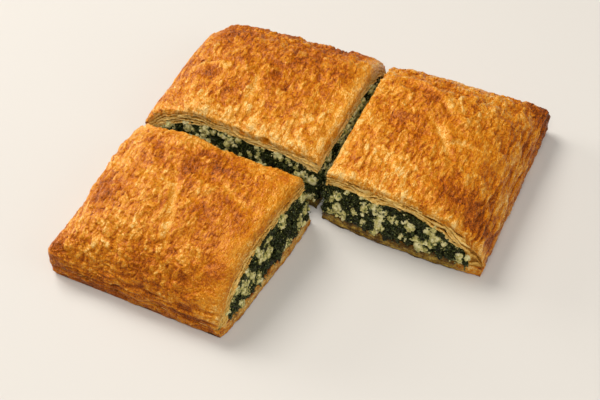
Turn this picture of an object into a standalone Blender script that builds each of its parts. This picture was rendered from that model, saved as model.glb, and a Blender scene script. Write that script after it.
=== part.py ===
"""Greens and cheese pie: three quarters of a square puff pastry pie.

A square pie was cut in four and the front right quarter is gone. Each quarter left
is a pillow of flaky pastry: a bottom crust, a filling of chopped greens and crumbled
cheese, and a top crust that wraps down over the two outer sides. The other two sides
are cut faces, where the pastry layers and the filling show.

Metres, +Z up. The origin is under the middle of the pie's box, on the plane it rests on.
"""
import math
import random

import bmesh
import bpy
from mathutils import Vector, noise

MM = 0.001

# --- Driving dimensions -------------------------------------------------------------
BOTTOM_THICK = 6.2 * MM      # bottom crust, baked flat and firm
TOP_THICK = 7.6 * MM         # puffed top crust where it is cut
EDGE_HEIGHT = 9.0 * MM       # where the top crust turns down at the outer sides
CROWN_HEIGHT = 36.0 * MM     # highest part of each quarter
SHOULDER_REACH = 40.0 * MM   # how far in from an outer side the top keeps rising
SEAL_WIDTH = 6.0 * MM        # solid pastry between an outer side and the filling
CORNER_REACH = 13.0 * MM     # how far along a side the lift of a folded corner runs
CUT_DROP = 2.4 * MM          # the knife presses the top down beside a cut
CUT_DROP_REACH = 7.0 * MM
SIDE_BULGE = 0.6 * MM        # outer sides swell over the base line
LEAN_FADE = 3                # a cut face's lean dies away inwards by this power
SPREAD_FADE = 4              # and its spread towards both ends by this one
BULGE_FADE = 8               # and an outer side's swell by this one
GAP = 0.3 * MM               # clearance between neighbouring solids
CORE_CLEARANCE = 0.45 * MM   # under the curved crust, whose facets are finer than the core's

# Relief of the pastry
BLISTER_SIZE = 9.0 * MM
BLISTER_HEIGHT = 1.2 * MM
LAYER_STEP = 0.35 * MM       # how far alternate layers stand proud on a cut edge
LAYER_WANDER = 0.45 * MM     # and how far they stray from that
LAYER_WAVE = 9.0 * MM

# Cheese crumbs and lumps of greens on the cut faces of the filling
LUMP_RADIUS = (2.3 * MM, 3.6 * MM)
LUMP_SPACING = 8.2 * MM
LUMP_ROWS = 3
LUMP_STRAY = 0.16            # share of the spacing by which a lump strays from its row
LUMP_UNEVEN = (0.85, 1.1)    # how far its corners lie in or out of a ball
LUMP_PROUD = 0.6             # share of a lump's radius by which it stands out of the face
LUMP_MARGIN = 0.7 * MM       # clear of the crusts above and below

# Mesh density: parts along a side, and rows up a side
CRUST_PARTS = 23
CRUST_ROWS = 5
CORE_PARTS = 10              # every second line of the crust's grid, from CORE_FIRST_LINE on
CORE_FIRST_LINE = 3
CORE_ROWS = 3
BOTTOM_ROWS = 2
SEAL_LINE = 2                # the line of the grid that lies on the inner edge of the seal
EDGE_CROWDING = 0.5          # 0 spaces the lines evenly, more crowds them to the outer sides

# The four base corners of each quarter, anticlockwise from its outer corner, then how
# far its two cut faces lean back at the top, bow out in the middle and spread at the foot
# under the weight of the filling, and how much the outer corner is lifted by its fold and
# rounded in plan. Side "a" runs from the first corner to the second, side "b" from the
# first to the last.
QUARTERS = {
    "front_left": {
        "corners": ((-82.0, -85.0), (3.0, -84.5), (10.5, -9.5), (-85.0, -4.0)),
        "lean": (2.8, 3.5),
        "bow": (-0.5, -2.0),
        "spread": (2.7, 0.0),
        "corner_lift": 6.5,
        "corner_round": 3.0,
        "seed": 3,
    },
    "back_left": {
        "corners": ((-83.5, 79.0), (-83.5, 2.5), (10.0, -2.0), (6.5, 86.0)),
        "lean": (2.5, 1.0),
        "bow": (0.5, 2.0),
        "spread": (0.0, 0.0),
        "corner_lift": 1.5,
        "corner_round": 16.0,
        "seed": 5,
    },
    "back_right": {
        "corners": ((90.0, 91.0), (10.5, 84.5), (13.5, -6.5), (91.5, -7.0)),
        "lean": (2.5, 2.5),
        "bow": (-1.0, 1.5),
        "spread": (0.0, 0.9),
        "corner_lift": 5.5,
        "corner_round": 4.0,
        "seed": 8,
    },
}
FRAME_SHIFT = Vector((-3.2, -2.8, 0.0)) * MM

FLAT = math.radians(0.2)     # faces that meet at less than this are one flat face

BROWNED = (0.62, 0.29, 0.07)
PALE_PASTRY = (0.72, 0.48, 0.20)
GREENS = (0.03, 0.05, 0.02)


# --- Scene and materials ------------------------------------------------------------
def clear_scene():
    """Start from an empty file."""
    for old in list(bpy.data.objects):
        bpy.data.objects.remove(old, do_unlink=True)


def new_collection(name, parent):
    """A collection under another one."""
    made = bpy.data.collections.new(name)
    parent.children.link(made)
    return made


def new_material(name, colour, roughness):
    """A plain Principled finish."""
    made = bpy.data.materials.new(name)
    made.use_nodes = True
    shader = made.node_tree.nodes["Principled BSDF"]
    shader.inputs["Base Color"].default_value = (*colour, 1.0)
    shader.inputs["Roughness"].default_value = roughness
    shader.inputs["Metallic"].default_value = 0.0
    return made


# --- The shape of a quarter ---------------------------------------------------------
class Quarter:
    """Works out heights and places on one quarter from its corners.

    a and b run from 0 at an outer side to 1 at a cut face.
    """

    def __init__(self, corners, lean, bow, spread, corner_lift, corner_round, seed):
        self.corners = [Vector((x, y, 0.0)) * MM for x, y in corners]
        outer, end_a, inner, end_b = self.corners
        self.length_a = ((end_a - outer).length + (inner - end_b).length) / 2
        self.length_b = ((end_b - outer).length + (inner - end_a).length) / 2
        self.lean = [value * MM for value in lean]
        self.bow = [value * MM for value in bow]
        self.spread = [value * MM for value in spread]
        self.corner_lift = corner_lift * MM
        self.corner_round = corner_round * MM
        self.seed = seed

    def plan(self, a, b, height):
        """The point over the base at this share of each side, leaning and bulging."""
        rise = min(height / CROWN_HEIGHT, 1.0)
        out_a = self.bow[0] * math.sin(math.pi * b) - self.lean[0] * rise
        out_b = self.bow[1] * math.sin(math.pi * a) - self.lean[1] * rise
        out_a += self.spread[0] * (1.0 - (2 * b - 1) ** SPREAD_FADE) * (1.0 - rise)
        out_b += self.spread[1] * (1.0 - (2 * a - 1) ** SPREAD_FADE) * (1.0 - rise)
        swell = SIDE_BULGE * math.sin(math.pi * min(height / (2 * EDGE_HEIGHT), 1.0))
        inset_a, inset_b = self.rounding(a * self.length_a, b * self.length_b)
        out_a = a ** LEAN_FADE * out_a - (1 - a) ** BULGE_FADE * swell + inset_a
        out_b = b ** LEAN_FADE * out_b - (1 - b) ** BULGE_FADE * swell + inset_b
        a_moved = a + out_a / self.length_a
        b_moved = b + out_b / self.length_b
        outer, end_a, inner, end_b = self.corners
        near = outer.lerp(end_a, a_moved)
        far = end_b.lerp(inner, a_moved)
        place = near.lerp(far, b_moved)
        return Vector((place.x, place.y, height)) + FRAME_SHIFT

    def outward(self):
        """Directions that the cut faces at a = 1 and at b = 1 look in."""
        outer, end_a, inner, end_b = self.corners
        return (inner - end_b).normalized(), (inner - end_a).normalized()

    def rounding(self, across, along):
        """How far a point near the outer corner moves in, so that the corner is round."""
        radius = self.corner_round
        x = max(1.0 - across / radius, 0.0)
        y = max(1.0 - along / radius, 0.0)
        moved_x = x * math.sqrt(1.0 - y * y / 2)
        moved_y = y * math.sqrt(1.0 - x * x / 2)
        return (x - moved_x) * radius, (y - moved_y) * radius

    def grid_place(self, cell, first_line=0):
        """Shares a and b of a corner of the unit block, on the lines of the grid."""
        lines = CRUST_PARTS - first_line
        step_a = first_line + round(cell.x * lines)
        step_b = first_line + round(cell.y * lines)
        return grid_line(step_a, self.length_a), grid_line(step_b, self.length_b)

    def drop(self, a, b):
        """How far the knife pressed the pastry down here."""
        from_a = (1 - a) * self.length_a
        from_b = (1 - b) * self.length_b
        pressed = math.exp(-from_a / CUT_DROP_REACH) + math.exp(-from_b / CUT_DROP_REACH)
        return CUT_DROP * pressed

    def top(self, a, b):
        """Height of the baked top without its relief."""
        across = self.length_a * a
        along = self.length_b * b
        share = shoulder(across, SHOULDER_REACH) * shoulder(along, SHOULDER_REACH)
        corner = math.exp(-(across ** 2 + along ** 2) / CORNER_REACH ** 2)
        edge = EDGE_HEIGHT + self.corner_lift * corner
        return edge + (CROWN_HEIGHT - edge) * share - self.drop(a, b) * share

    def under(self, a, b):
        """Height of the hollow under the top crust, which the filling fills."""
        across = self.length_a * a - SEAL_WIDTH
        along = self.length_b * b - SEAL_WIDTH
        share = shoulder(across, SHOULDER_REACH) * shoulder(along, SHOULDER_REACH)
        floor = BOTTOM_THICK + GAP
        ceiling = CROWN_HEIGHT - TOP_THICK
        return floor + (ceiling - floor - self.drop(a, b)) * share

    def blister(self, point):
        """Low swellings all over the baked top."""
        where = point / BLISTER_SIZE + Vector((0.0, 0.0, self.seed))
        return BLISTER_HEIGHT * noise.fractal(where, 1.0, 2.0, 2)


def shoulder(distance, reach):
    """A quarter ellipse: 0 at an outer side, 1 once the reach is passed."""
    share = min(max(distance / reach, 0.0), 1.0)
    return math.sqrt(1.0 - (1.0 - share) ** 2)


def grid_line(index, length):
    """Share of a side at which a line of the grid lies, closest together by the seal."""
    seal = SEAL_WIDTH / length
    if index <= SEAL_LINE:
        return seal * index / SEAL_LINE
    if index == CRUST_PARTS:
        return 1.0
    share = (index - SEAL_LINE) / (CRUST_PARTS - SEAL_LINE)
    return seal + (1 - seal) * (share + EDGE_CROWDING * (share ** 2 - share))


# --- Blocks -------------------------------------------------------------------------
def block(parts_a, parts_b, rows):
    """A unit cube cut into a grid, with its corner at the origin."""
    bm = bmesh.new()
    bmesh.ops.create_cube(bm, size=1.0)
    for axis, parts in enumerate((parts_a, parts_b, rows)):
        along = [e for e in bm.edges if abs(e.verts[0].co[axis] - e.verts[1].co[axis]) > 0.9]
        bmesh.ops.subdivide_edges(bm, edges=along, cuts=parts - 1, use_grid_fill=True)
    bmesh.ops.translate(bm, vec=(0.5, 0.5, 0.5), verts=bm.verts[:])
    return bm


def add_object(name, bm, material, collection):
    """Puts a finished bmesh into the scene as a named object."""
    mesh = bpy.data.meshes.new(name)
    bm.to_mesh(mesh)
    bm.free()
    mesh.materials.append(material)
    made = bpy.data.objects.new(name, mesh)
    collection.objects.link(made)
    return made


def add_bottom_crust(name, quarter, material, collection):
    """The flat bottom crust, whose edge shows on all four sides."""
    bm = block(CRUST_PARTS, CRUST_PARTS, BOTTOM_ROWS)
    for vert in bm.verts:
        a, b = quarter.grid_place(vert.co)
        vert.co = quarter.plan(a, b, vert.co.z * BOTTOM_THICK)
    bmesh.ops.dissolve_limit(bm, angle_limit=FLAT, verts=bm.verts[:], edges=bm.edges[:])
    return add_object(name, bm, material, collection)


def layer_relief(quarter, row, along):
    """Alternate layers of a cut edge stand proud, and wander along it."""
    if row in (0, CRUST_ROWS):
        return 0.0
    step = LAYER_STEP if row % 2 else -LAYER_STEP
    wave = noise.noise(Vector((along / LAYER_WAVE, row * math.pi, quarter.seed)))
    return step + LAYER_WANDER * wave


def add_top_crust(name, quarter, material, collection):
    """The top crust: a pillow that seals on the bottom crust along the outer sides."""
    bm = block(CRUST_PARTS, CRUST_PARTS, CRUST_ROWS)
    out_a, out_b = quarter.outward()
    for vert in bm.verts:
        a, b = quarter.grid_place(vert.co)
        row = round(vert.co.z * CRUST_ROWS)
        low = quarter.under(a, b)
        height = low + (quarter.top(a, b) - low) * vert.co.z
        if row == CRUST_ROWS:
            height += quarter.blister(quarter.plan(a, b, 0.0))
        place = quarter.plan(a, b, height)
        if a == 1.0:
            place += out_a * layer_relief(quarter, row, b * quarter.length_b)
        if b == 1.0:
            place += out_b * layer_relief(quarter, row, a * quarter.length_a)
        vert.co = place
    return add_object(name, bm, material, collection)


def filling_core(quarter):
    """The filling without its lumps, sealed in the pastry along the outer sides."""
    bm = block(CORE_PARTS, CORE_PARTS, CORE_ROWS)
    floor = BOTTOM_THICK + GAP
    for vert in bm.verts:
        a, b = quarter.grid_place(vert.co, CORE_FIRST_LINE)
        ceiling = quarter.under(a, b) - CORE_CLEARANCE
        vert.co = quarter.plan(a, b, floor + (ceiling - floor) * vert.co.z)
    bmesh.ops.dissolve_limit(bm, angle_limit=FLAT, verts=bm.verts[:], edges=bm.edges[:])
    return bm


def lump_places(quarter, dice):
    """Places of the lumps on both cut faces, in staggered rows that follow its height."""
    places = []
    for side, length in ((0, quarter.length_b), (1, quarter.length_a)):
        columns = int((length - 2 * SEAL_WIDTH) / LUMP_SPACING)
        for column in range(columns):
            for row in range(LUMP_ROWS):
                stagger = 0.3 + 0.5 * (row % 2) + dice.uniform(-LUMP_STRAY, LUMP_STRAY)
                along = (SEAL_WIDTH + (column + stagger) * LUMP_SPACING) / length
                radius = dice.uniform(*LUMP_RADIUS)
                toward_seal = along - (radius + LUMP_MARGIN) / length
                ceiling = quarter.under(toward_seal, 1.0) if side else quarter.under(1.0, toward_seal)
                low = BOTTOM_THICK + GAP + radius + LUMP_MARGIN
                high = ceiling - GAP - radius - LUMP_MARGIN
                if high < low + row * LUMP_RADIUS[0]:
                    continue
                share = row / (LUMP_ROWS - 1) + dice.uniform(-LUMP_STRAY, LUMP_STRAY)
                height = low + (high - low) * min(max(share, 0.0), 1.0)
                a, b = (along, 1.0) if side else (1.0, along)
                places.append((quarter.plan(a, b, height), side, radius))
    return places


def add_lumps(name, quarter, material, collection):
    """Cheese crumbs and tight lumps of greens, as few-sided lumps."""
    dice = random.Random(quarter.seed)
    outward = quarter.outward()
    for index, (place, side, radius) in enumerate(lump_places(quarter, dice)):
        bm = bmesh.new()
        bmesh.ops.create_icosphere(bm, subdivisions=1, radius=radius)
        for vert in bm.verts:
            vert.co *= dice.uniform(*LUMP_UNEVEN)
        sunk = outward[side] * radius * (LUMP_PROUD - 1.0)
        bmesh.ops.translate(bm, vec=place + sunk, verts=bm.verts[:])
        add_object(f"{name}_lump_{index}", bm, material, collection)


def add_filling(name, quarter, material, collection, cutters):
    """The filling: its core with the lumps of both cut faces fused on."""
    core = add_object(name, filling_core(quarter), material, collection)
    lumps = new_collection(name + "_lumps", cutters)
    add_lumps(name, quarter, material, lumps)
    fuse = core.modifiers.new("fuse_lumps", "BOOLEAN")
    fuse.operation = "UNION"
    fuse.operand_type = "COLLECTION"
    fuse.collection = lumps
    fuse.solver = "MANIFOLD"
    view = bpy.context.evaluated_depsgraph_get()
    fused = bpy.data.meshes.new_from_object(core.evaluated_get(view))
    core.modifiers.remove(fuse)
    core.data = fused
    for lump in list(lumps.objects):
        bpy.data.objects.remove(lump, do_unlink=True)
    bpy.data.collections.remove(lumps)
    return core


def main():
    clear_scene()
    scene_root = bpy.context.scene.collection
    parts = new_collection("greens_and_cheese_pie", scene_root)
    cutters = new_collection("lumps_to_fuse", scene_root)
    browned = new_material("browned_pastry", BROWNED, 0.45)
    pale = new_material("bottom_pastry", PALE_PASTRY, 0.6)
    greens = new_material("greens_and_cheese", GREENS, 0.5)
    for name, sizes in QUARTERS.items():
        quarter = Quarter(**sizes)
        add_bottom_crust(name + "_bottom_crust", quarter, pale, parts)
        add_filling(name + "_filling", quarter, greens, parts, cutters)
        add_top_crust(name + "_top_crust", quarter, browned, parts)


main()
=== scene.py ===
# %% [markdown]
# # Greens and cheese pie, three quarters of it
#
# A square puff pastry pie was cut in four and one quarter was taken away. What is left
# shows everything such a pie has: a crinkled, egg-washed top, sides pressed down over a
# flat base, edges where the knife opened the layers, and a filling of dark greens with
# white cheese crumbled through it.
#
# The plain solids of the pie are loaded first. They say where everything is. Each of them
# is then replaced by a finer mesh of the same form, and the small things of the filling
# are made one by one.

import math
import random

import bmesh
import bpy
from mathutils import Euler, Matrix, Vector, noise


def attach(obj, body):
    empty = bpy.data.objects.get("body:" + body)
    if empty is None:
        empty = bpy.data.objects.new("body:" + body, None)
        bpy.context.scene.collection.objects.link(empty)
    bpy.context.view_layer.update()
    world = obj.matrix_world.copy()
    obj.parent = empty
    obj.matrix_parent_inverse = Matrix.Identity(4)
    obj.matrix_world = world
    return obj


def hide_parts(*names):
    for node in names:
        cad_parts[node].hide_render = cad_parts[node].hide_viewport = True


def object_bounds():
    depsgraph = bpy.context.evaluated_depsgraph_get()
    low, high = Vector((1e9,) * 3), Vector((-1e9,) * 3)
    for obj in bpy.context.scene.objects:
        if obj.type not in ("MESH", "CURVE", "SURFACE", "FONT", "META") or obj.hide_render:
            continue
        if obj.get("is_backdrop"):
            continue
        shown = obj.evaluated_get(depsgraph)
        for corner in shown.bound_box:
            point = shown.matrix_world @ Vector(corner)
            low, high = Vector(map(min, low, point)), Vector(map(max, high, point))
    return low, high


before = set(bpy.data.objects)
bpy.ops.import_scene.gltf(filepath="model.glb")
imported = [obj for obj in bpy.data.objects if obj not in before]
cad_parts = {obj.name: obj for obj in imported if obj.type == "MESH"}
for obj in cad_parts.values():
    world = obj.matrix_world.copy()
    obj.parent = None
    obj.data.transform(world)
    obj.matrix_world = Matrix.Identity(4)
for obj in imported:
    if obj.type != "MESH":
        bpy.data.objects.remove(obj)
CAD_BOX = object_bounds()
print("solids:", sorted(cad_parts))

# %% [markdown]
# ## The form of a quarter
#
# A quarter is a pillow. Two of its sides are the outer sides of the pie, where the crust
# comes down in a rounded shoulder, and two are cuts. It could be sculpted by hand, but a
# pillow with four uneven corners is easier to hold as a rule: a share `a` along one side
# and a share `b` along the other give a place, and a few sizes give the height there. The
# solids follow the same rule, so the finer meshes land exactly on them.

# %% Sizes of the pie
MM = 0.001
BOTTOM_THICK = 6.2 * MM              # bottom crust, baked flat and firm
TOP_THICK = 7.6 * MM                 # puffed top crust where it is cut
EDGE_HEIGHT = 9.0 * MM               # where the top crust turns down at the outer sides
CROWN_HEIGHT = 36.0 * MM             # highest part of each quarter
SHOULDER_REACH = 40.0 * MM           # how far in from an outer side the top keeps rising
SEAL_WIDTH = 6.0 * MM                # solid pastry between an outer side and the filling
CORNER_REACH = 13.0 * MM             # how far along a side the lift of a folded corner runs
CUT_DROP = 2.4 * MM                  # the knife presses the top down beside a cut
CUT_DROP_REACH = 7.0 * MM
SIDE_BULGE = 0.6 * MM                # outer sides swell over the base line
LEAN_FADE = 3                        # a cut face's lean dies away inwards by this power
SPREAD_FADE = 4                      # and its spread towards both ends by this one
BULGE_FADE = 8                       # and an outer side's swell by this one
GAP = 0.3 * MM                       # between neighbouring solids
FILLING_FLOOR = BOTTOM_THICK + GAP
FRAME_SHIFT = Vector((-3.2, -2.8, 0.0)) * MM   # brings the middle of the pie's box to the origin

# The corners in millimetres, anticlockwise from the pie's own corner. Side "a" runs from
# the first to the second and side "b" from the first to the last. Then how far the two cut
# faces lean back at the top, bow out in the middle and spread at the foot, and how far the
# pie's own corner is lifted by its fold and rounded in plan.
QUARTERS = {
    "front_left": {
        "corners": ((-82.0, -85.0), (3.0, -84.5), (10.5, -9.5), (-85.0, -4.0)),
        "lean": (2.8, 3.5),
        "bow": (-0.5, -2.0),
        "spread": (2.7, 0.0),
        "corner_lift": 6.5,
        "corner_round": 3.0,
        "seed": 3,
    },
    "back_left": {
        "corners": ((-83.5, 79.0), (-83.5, 2.5), (10.0, -2.0), (6.5, 86.0)),
        "lean": (2.5, 1.0),
        "bow": (0.5, 2.0),
        "spread": (0.0, 0.0),
        "corner_lift": 1.5,
        "corner_round": 16.0,
        "seed": 5,
    },
    "back_right": {
        "corners": ((90.0, 91.0), (10.5, 84.5), (13.5, -6.5), (91.5, -7.0)),
        "lean": (2.5, 2.5),
        "bow": (-1.0, 1.5),
        "spread": (0.0, 0.9),
        "corner_lift": 5.5,
        "corner_round": 4.0,
        "seed": 8,
    },
}


# %% The rule that gives a place and a height
AT_SIDE = 0.0001                     # a point whose share is below this lies on an outer side
AT_CUT = 0.9999                      # and one above this on a cut, or on the top
LAST_SHARE = 0.998                   # small things on a cut stop this far along it


def shoulder(distance, reach):
    """A quarter ellipse: 0 at an outer side, 1 once the reach is passed."""
    share = min(max(distance / reach, 0.0), 1.0)
    return math.sqrt(1.0 - (1.0 - share) ** 2)


class Quarter:
    """Heights and places on one quarter. a and b are 0 at an outer side, 1 at a cut.

    Of its two cuts, side 0 is the one at a = 1 and side 1 the one at b = 1.
    """

    def __init__(self, corners, lean, bow, spread, corner_lift, corner_round, seed):
        self.corners = [Vector((x, y, 0.0)) * MM for x, y in corners]
        outer, end_a, inner, end_b = self.corners
        self.length_a = ((end_a - outer).length + (inner - end_b).length) / 2
        self.length_b = ((end_b - outer).length + (inner - end_a).length) / 2
        self.outward = (inner - end_b).normalized(), (inner - end_a).normalized()
        self.lean = [value * MM for value in lean]
        self.bow = [value * MM for value in bow]
        self.spread = [value * MM for value in spread]
        self.corner_lift = corner_lift * MM
        self.corner_round = corner_round * MM
        self.seed = seed

    def plan(self, a, b, height):
        """The point at this height over the base, leaning and bulging as the sides do."""
        rise = min(height / CROWN_HEIGHT, 1.0)
        out_a = self.bow[0] * math.sin(math.pi * b) - self.lean[0] * rise
        out_b = self.bow[1] * math.sin(math.pi * a) - self.lean[1] * rise
        out_a += self.spread[0] * (1.0 - (2 * b - 1) ** SPREAD_FADE) * (1.0 - rise)
        out_b += self.spread[1] * (1.0 - (2 * a - 1) ** SPREAD_FADE) * (1.0 - rise)
        swell = SIDE_BULGE * math.sin(math.pi * min(height / (2 * EDGE_HEIGHT), 1.0))
        inset_a, inset_b = self.rounding(a * self.length_a, b * self.length_b)
        out_a = a ** LEAN_FADE * out_a - (1 - a) ** BULGE_FADE * swell + inset_a
        out_b = b ** LEAN_FADE * out_b - (1 - b) ** BULGE_FADE * swell + inset_b
        a_moved = a + out_a / self.length_a
        b_moved = b + out_b / self.length_b
        outer, end_a, inner, end_b = self.corners
        near = outer.lerp(end_a, a_moved)
        far = end_b.lerp(inner, a_moved)
        place = near.lerp(far, b_moved)
        return Vector((place.x, place.y, height)) + FRAME_SHIFT

    def cut_length(self, side):
        """How long a cut is."""
        return self.length_a if side else self.length_b

    def cut_share(self, side, along):
        """The two shares of a place on a cut."""
        share = min(max(along / self.cut_length(side), 0.0), LAST_SHARE)
        return (share, 1.0) if side else (1.0, share)

    def cut_place(self, side, along, height):
        """The point on a cut face."""
        return self.plan(*self.cut_share(side, along), height)

    def cuts_at(self, a, b):
        """The cuts that a point lies on: the side, where it looks, and how far along it is."""
        if a > AT_CUT:
            yield 0, self.outward[0], b * self.length_b
        if b > AT_CUT:
            yield 1, self.outward[1], a * self.length_a

    def rounding(self, across, along):
        """How far a point near the pie's corner moves in, so that the corner is round."""
        radius = self.corner_round
        x = max(1.0 - across / radius, 0.0)
        y = max(1.0 - along / radius, 0.0)
        moved_x = x * math.sqrt(1.0 - y * y / 2)
        moved_y = y * math.sqrt(1.0 - x * x / 2)
        return (x - moved_x) * radius, (y - moved_y) * radius

    def drop(self, a, b):
        """How far the knife pressed the pastry down here."""
        from_a = (1 - a) * self.length_a
        from_b = (1 - b) * self.length_b
        pressed = math.exp(-from_a / CUT_DROP_REACH) + math.exp(-from_b / CUT_DROP_REACH)
        return CUT_DROP * pressed

    def top(self, a, b):
        """Height of the baked top without its relief."""
        across = self.length_a * a
        along = self.length_b * b
        share = shoulder(across, SHOULDER_REACH) * shoulder(along, SHOULDER_REACH)
        corner = math.exp(-(across ** 2 + along ** 2) / CORNER_REACH ** 2)
        edge = EDGE_HEIGHT + self.corner_lift * corner
        return edge + (CROWN_HEIGHT - edge) * share - self.drop(a, b) * share

    def under(self, a, b):
        """Height of the hollow under the top crust, which the filling fills."""
        across = self.length_a * a - SEAL_WIDTH
        along = self.length_b * b - SEAL_WIDTH
        share = shoulder(across, SHOULDER_REACH) * shoulder(along, SHOULDER_REACH)
        ceiling = CROWN_HEIGHT - TOP_THICK
        return FILLING_FLOOR + (ceiling - FILLING_FLOOR - self.drop(a, b)) * share


quarters = {name: Quarter(**sizes) for name, sizes in QUARTERS.items()}
for name, quarter in quarters.items():
    sides = quarter.length_a / MM, quarter.length_b / MM
    print(f"{name}: {sides[0]:.1f} x {sides[1]:.1f} mm")

# %% [markdown]
# ## A block that is fine only where it shows
#
# Crinkles half a millimetre wide need a mesh as fine as that, but the undersides never
# show. A cube is cut into a coarse grid first, and then only the faces that show are cut
# again. Both cuts are `subdivide_edges` with a grid fill, so the mesh stays closed. Each
# point remembers its share of the cube in a layer, because the rules below ask for it
# after the point has moved.

# %% Helpers that cut and keep a block
COARSE = 62                          # parts along a side before the shown faces are cut again
REFINE = 3                           # cuts on each edge of a shown face
ARC_SHARE = 0.55                     # share of the grid's lines that lie on the rounded shoulder


def block(parts_a, parts_b, rows):
    """A unit cube cut into a grid, with its corner at the origin."""
    bm = bmesh.new()
    bmesh.ops.create_cube(bm, size=1.0)
    for axis, parts in enumerate((parts_a, parts_b, rows)):
        along = [e for e in bm.edges if abs(e.verts[0].co[axis] - e.verts[1].co[axis]) > 0.9]
        bmesh.ops.subdivide_edges(bm, edges=along, cuts=parts - 1, use_grid_fill=True)
    bmesh.ops.translate(bm, vec=(0.5, 0.5, 0.5), verts=bm.verts[:])
    bm.normal_update()
    return bm


def refine(bm, shows, cuts):
    """Cuts the faces again whose normal passes the test."""
    edges = [edge for edge in bm.edges if any(shows(face.normal) for face in edge.link_faces)]
    bmesh.ops.subdivide_edges(bm, edges=edges, cuts=cuts, use_grid_fill=True)


def spaced(share, length):
    """Share of a side at a line of the grid, closest together where the crust is steep."""
    reach = SHOULDER_REACH / length
    if share < ARC_SHARE:
        return reach * (1.0 - math.cos(math.pi / 2 * share / ARC_SHARE))
    return reach + (1.0 - reach) * (share - ARC_SHARE) / (1.0 - ARC_SHARE)


def keep_shares(bm, quarter):
    """Writes a, b and the share of the thickness on every point."""
    shares = bm.verts.layers.float_vector.new("shares")
    for vert in bm.verts:
        a = spaced(vert.co.x, quarter.length_a)
        b = spaced(vert.co.y, quarter.length_b)
        vert[shares] = Vector((a, b, vert.co.z))
    return shares


def push(bm, moves):
    """Moves all points at once, when every normal has been read."""
    for vert, move in zip(bm.verts, moves):
        vert.co += move


def finish_piece(name, bm, material, nodes=()):
    """Puts a mesh in the scene, smooth, riding with the pie and standing for its solids."""
    for face in bm.faces:
        face.smooth = True
    mesh = bpy.data.meshes.new(name)
    bm.to_mesh(mesh)
    bm.free()
    mesh.materials.append(material)
    piece = bpy.data.objects.new(name, mesh)
    bpy.context.scene.collection.objects.link(piece)
    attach(piece, "root")
    if nodes:
        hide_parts(*nodes)
    triangles = sum(len(polygon.vertices) - 2 for polygon in mesh.polygons)
    print(f"{name}: {triangles} triangles")
    return piece


# %% [markdown]
# ## Small rules for relief
#
# Everything on the pie is a mix of a few kinds of noise. An egg-washed skin cracks into
# chips: cells with sharp valleys between them, each leaning its own way. Flakes are thin
# sheets that rise slowly and break off at a lip. Strata are noise that is stretched
# sideways and squeezed in height, which gives the level lines of the layers on the sides.
# Domes are bubbles under the skin. Lumps and wrinkles are for crumpled greens. An image of
# heights could hold all this too, but a rule has no seams and is as fine as the mesh is.

# %% Noise in millimetres
GRAIN = Vector((1.0, 0.42, 1.0))     # the dough was rolled along Y, so features are longer there
TORN = 0.86                          # share of a flake's rise at which its edge breaks off
FLAKE_STEPS = 4.0                    # flakes in one unit of their noise
FLAKE_LIP = 0.45                     # share of a flake's rise at which its lip starts
DOME_STEEP = 2.2
DOME_ROUND = 0.7
VALLEY = 0.2                         # where two chips share their lean, in sizes of a chip
NOISE_SEED = 1
noise.seed_set(NOISE_SEED)           # without a seed, noise_vector takes one from the clock


def smooth_step(low, high, value):
    """0 below low, 1 above high, with a soft start and end."""
    share = min(max((value - low) / (high - low), 0.0), 1.0)
    return share * share * (3.0 - 2.0 * share)


def noise_at(x, y, z):
    """Plain noise at three numbers, which needn't be lengths."""
    return noise.noise(Vector((x, y, z)))


def lumps(place, size):
    """0 in the sharp valleys, about 1 on the round tops."""
    return min(abs(noise.noise(place / size)) * 2.0, 1.2)


def wrinkles(place, size):
    """1 on the sharp crests, 0 between them."""
    return max(1.0 - abs(noise.noise(place / size)) * 2.6, 0.0)


def domed(distances):
    """Height over a cell, from the distances to its own centre and to the next one."""
    return min((distances[1] - distances[0]) * DOME_STEEP, 1.0) ** DOME_ROUND


def domes(place, size):
    """Round tops, 1 high, between sharp valleys, like a skin with bubbles under it."""
    distances, _ = noise.voronoi(place / size)
    return domed(distances)


def chips(place, size):
    """Chips of skin: 0 in the valleys to 1 inside, how each leans, and its own number."""
    distances, centres = noise.voronoi(place / size)
    leans = []
    for centre in centres[:2]:
        slope = noise.cell_vector(centre) - Vector((0.5, 0.5, 0.5))
        leans.append((place / size - centre).dot(slope) * 2.0)
    own_share = 0.5 + 0.5 * smooth_step(0.0, VALLEY, distances[1] - distances[0])
    lean = leans[1] + (leans[0] - leans[1]) * own_share
    return domed(distances), lean, noise.cell(centres[0])


def flakes(place, size):
    """Thin sheets that overlap: how far one has risen, and 1 on its lip, -1 just under it."""
    jag = 0.10 * noise.noise(place / (0.16 * size))
    value = (noise.noise(place / size) + jag) * FLAKE_STEPS
    share = value - math.floor(value)
    if share < TORN:
        return share, smooth_step(FLAKE_LIP, TORN, share)
    return (1.0 - share) * TORN / (1.0 - TORN), -1.0


def strata(place, length, height):
    """Lines that run level round a side, between -1 and 1."""
    squeezed = Vector((place.x / length, place.y / length, place.z / height))
    return 1.0 - 2.0 * min(abs(noise.noise(squeezed)) * 2.2, 1.0)


def line_distance(x, y, points):
    """Distance in millimetres to a line of several points, and the share along it."""
    nearest = 1e9
    reached = 0.0
    for index in range(len(points) - 1):
        x0, y0 = points[index]
        x1, y1 = points[index + 1]
        dx, dy = x1 - x0, y1 - y0
        share = ((x - x0) * dx + (y - y0) * dy) / (dx * dx + dy * dy)
        share = min(max(share, 0.0), 1.0)
        away = math.hypot(x - x0 - share * dx, y - y0 - share * dy)
        if away < nearest:
            nearest = away
            reached = (index + share) / (len(points) - 1)
    return nearest, reached


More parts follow.
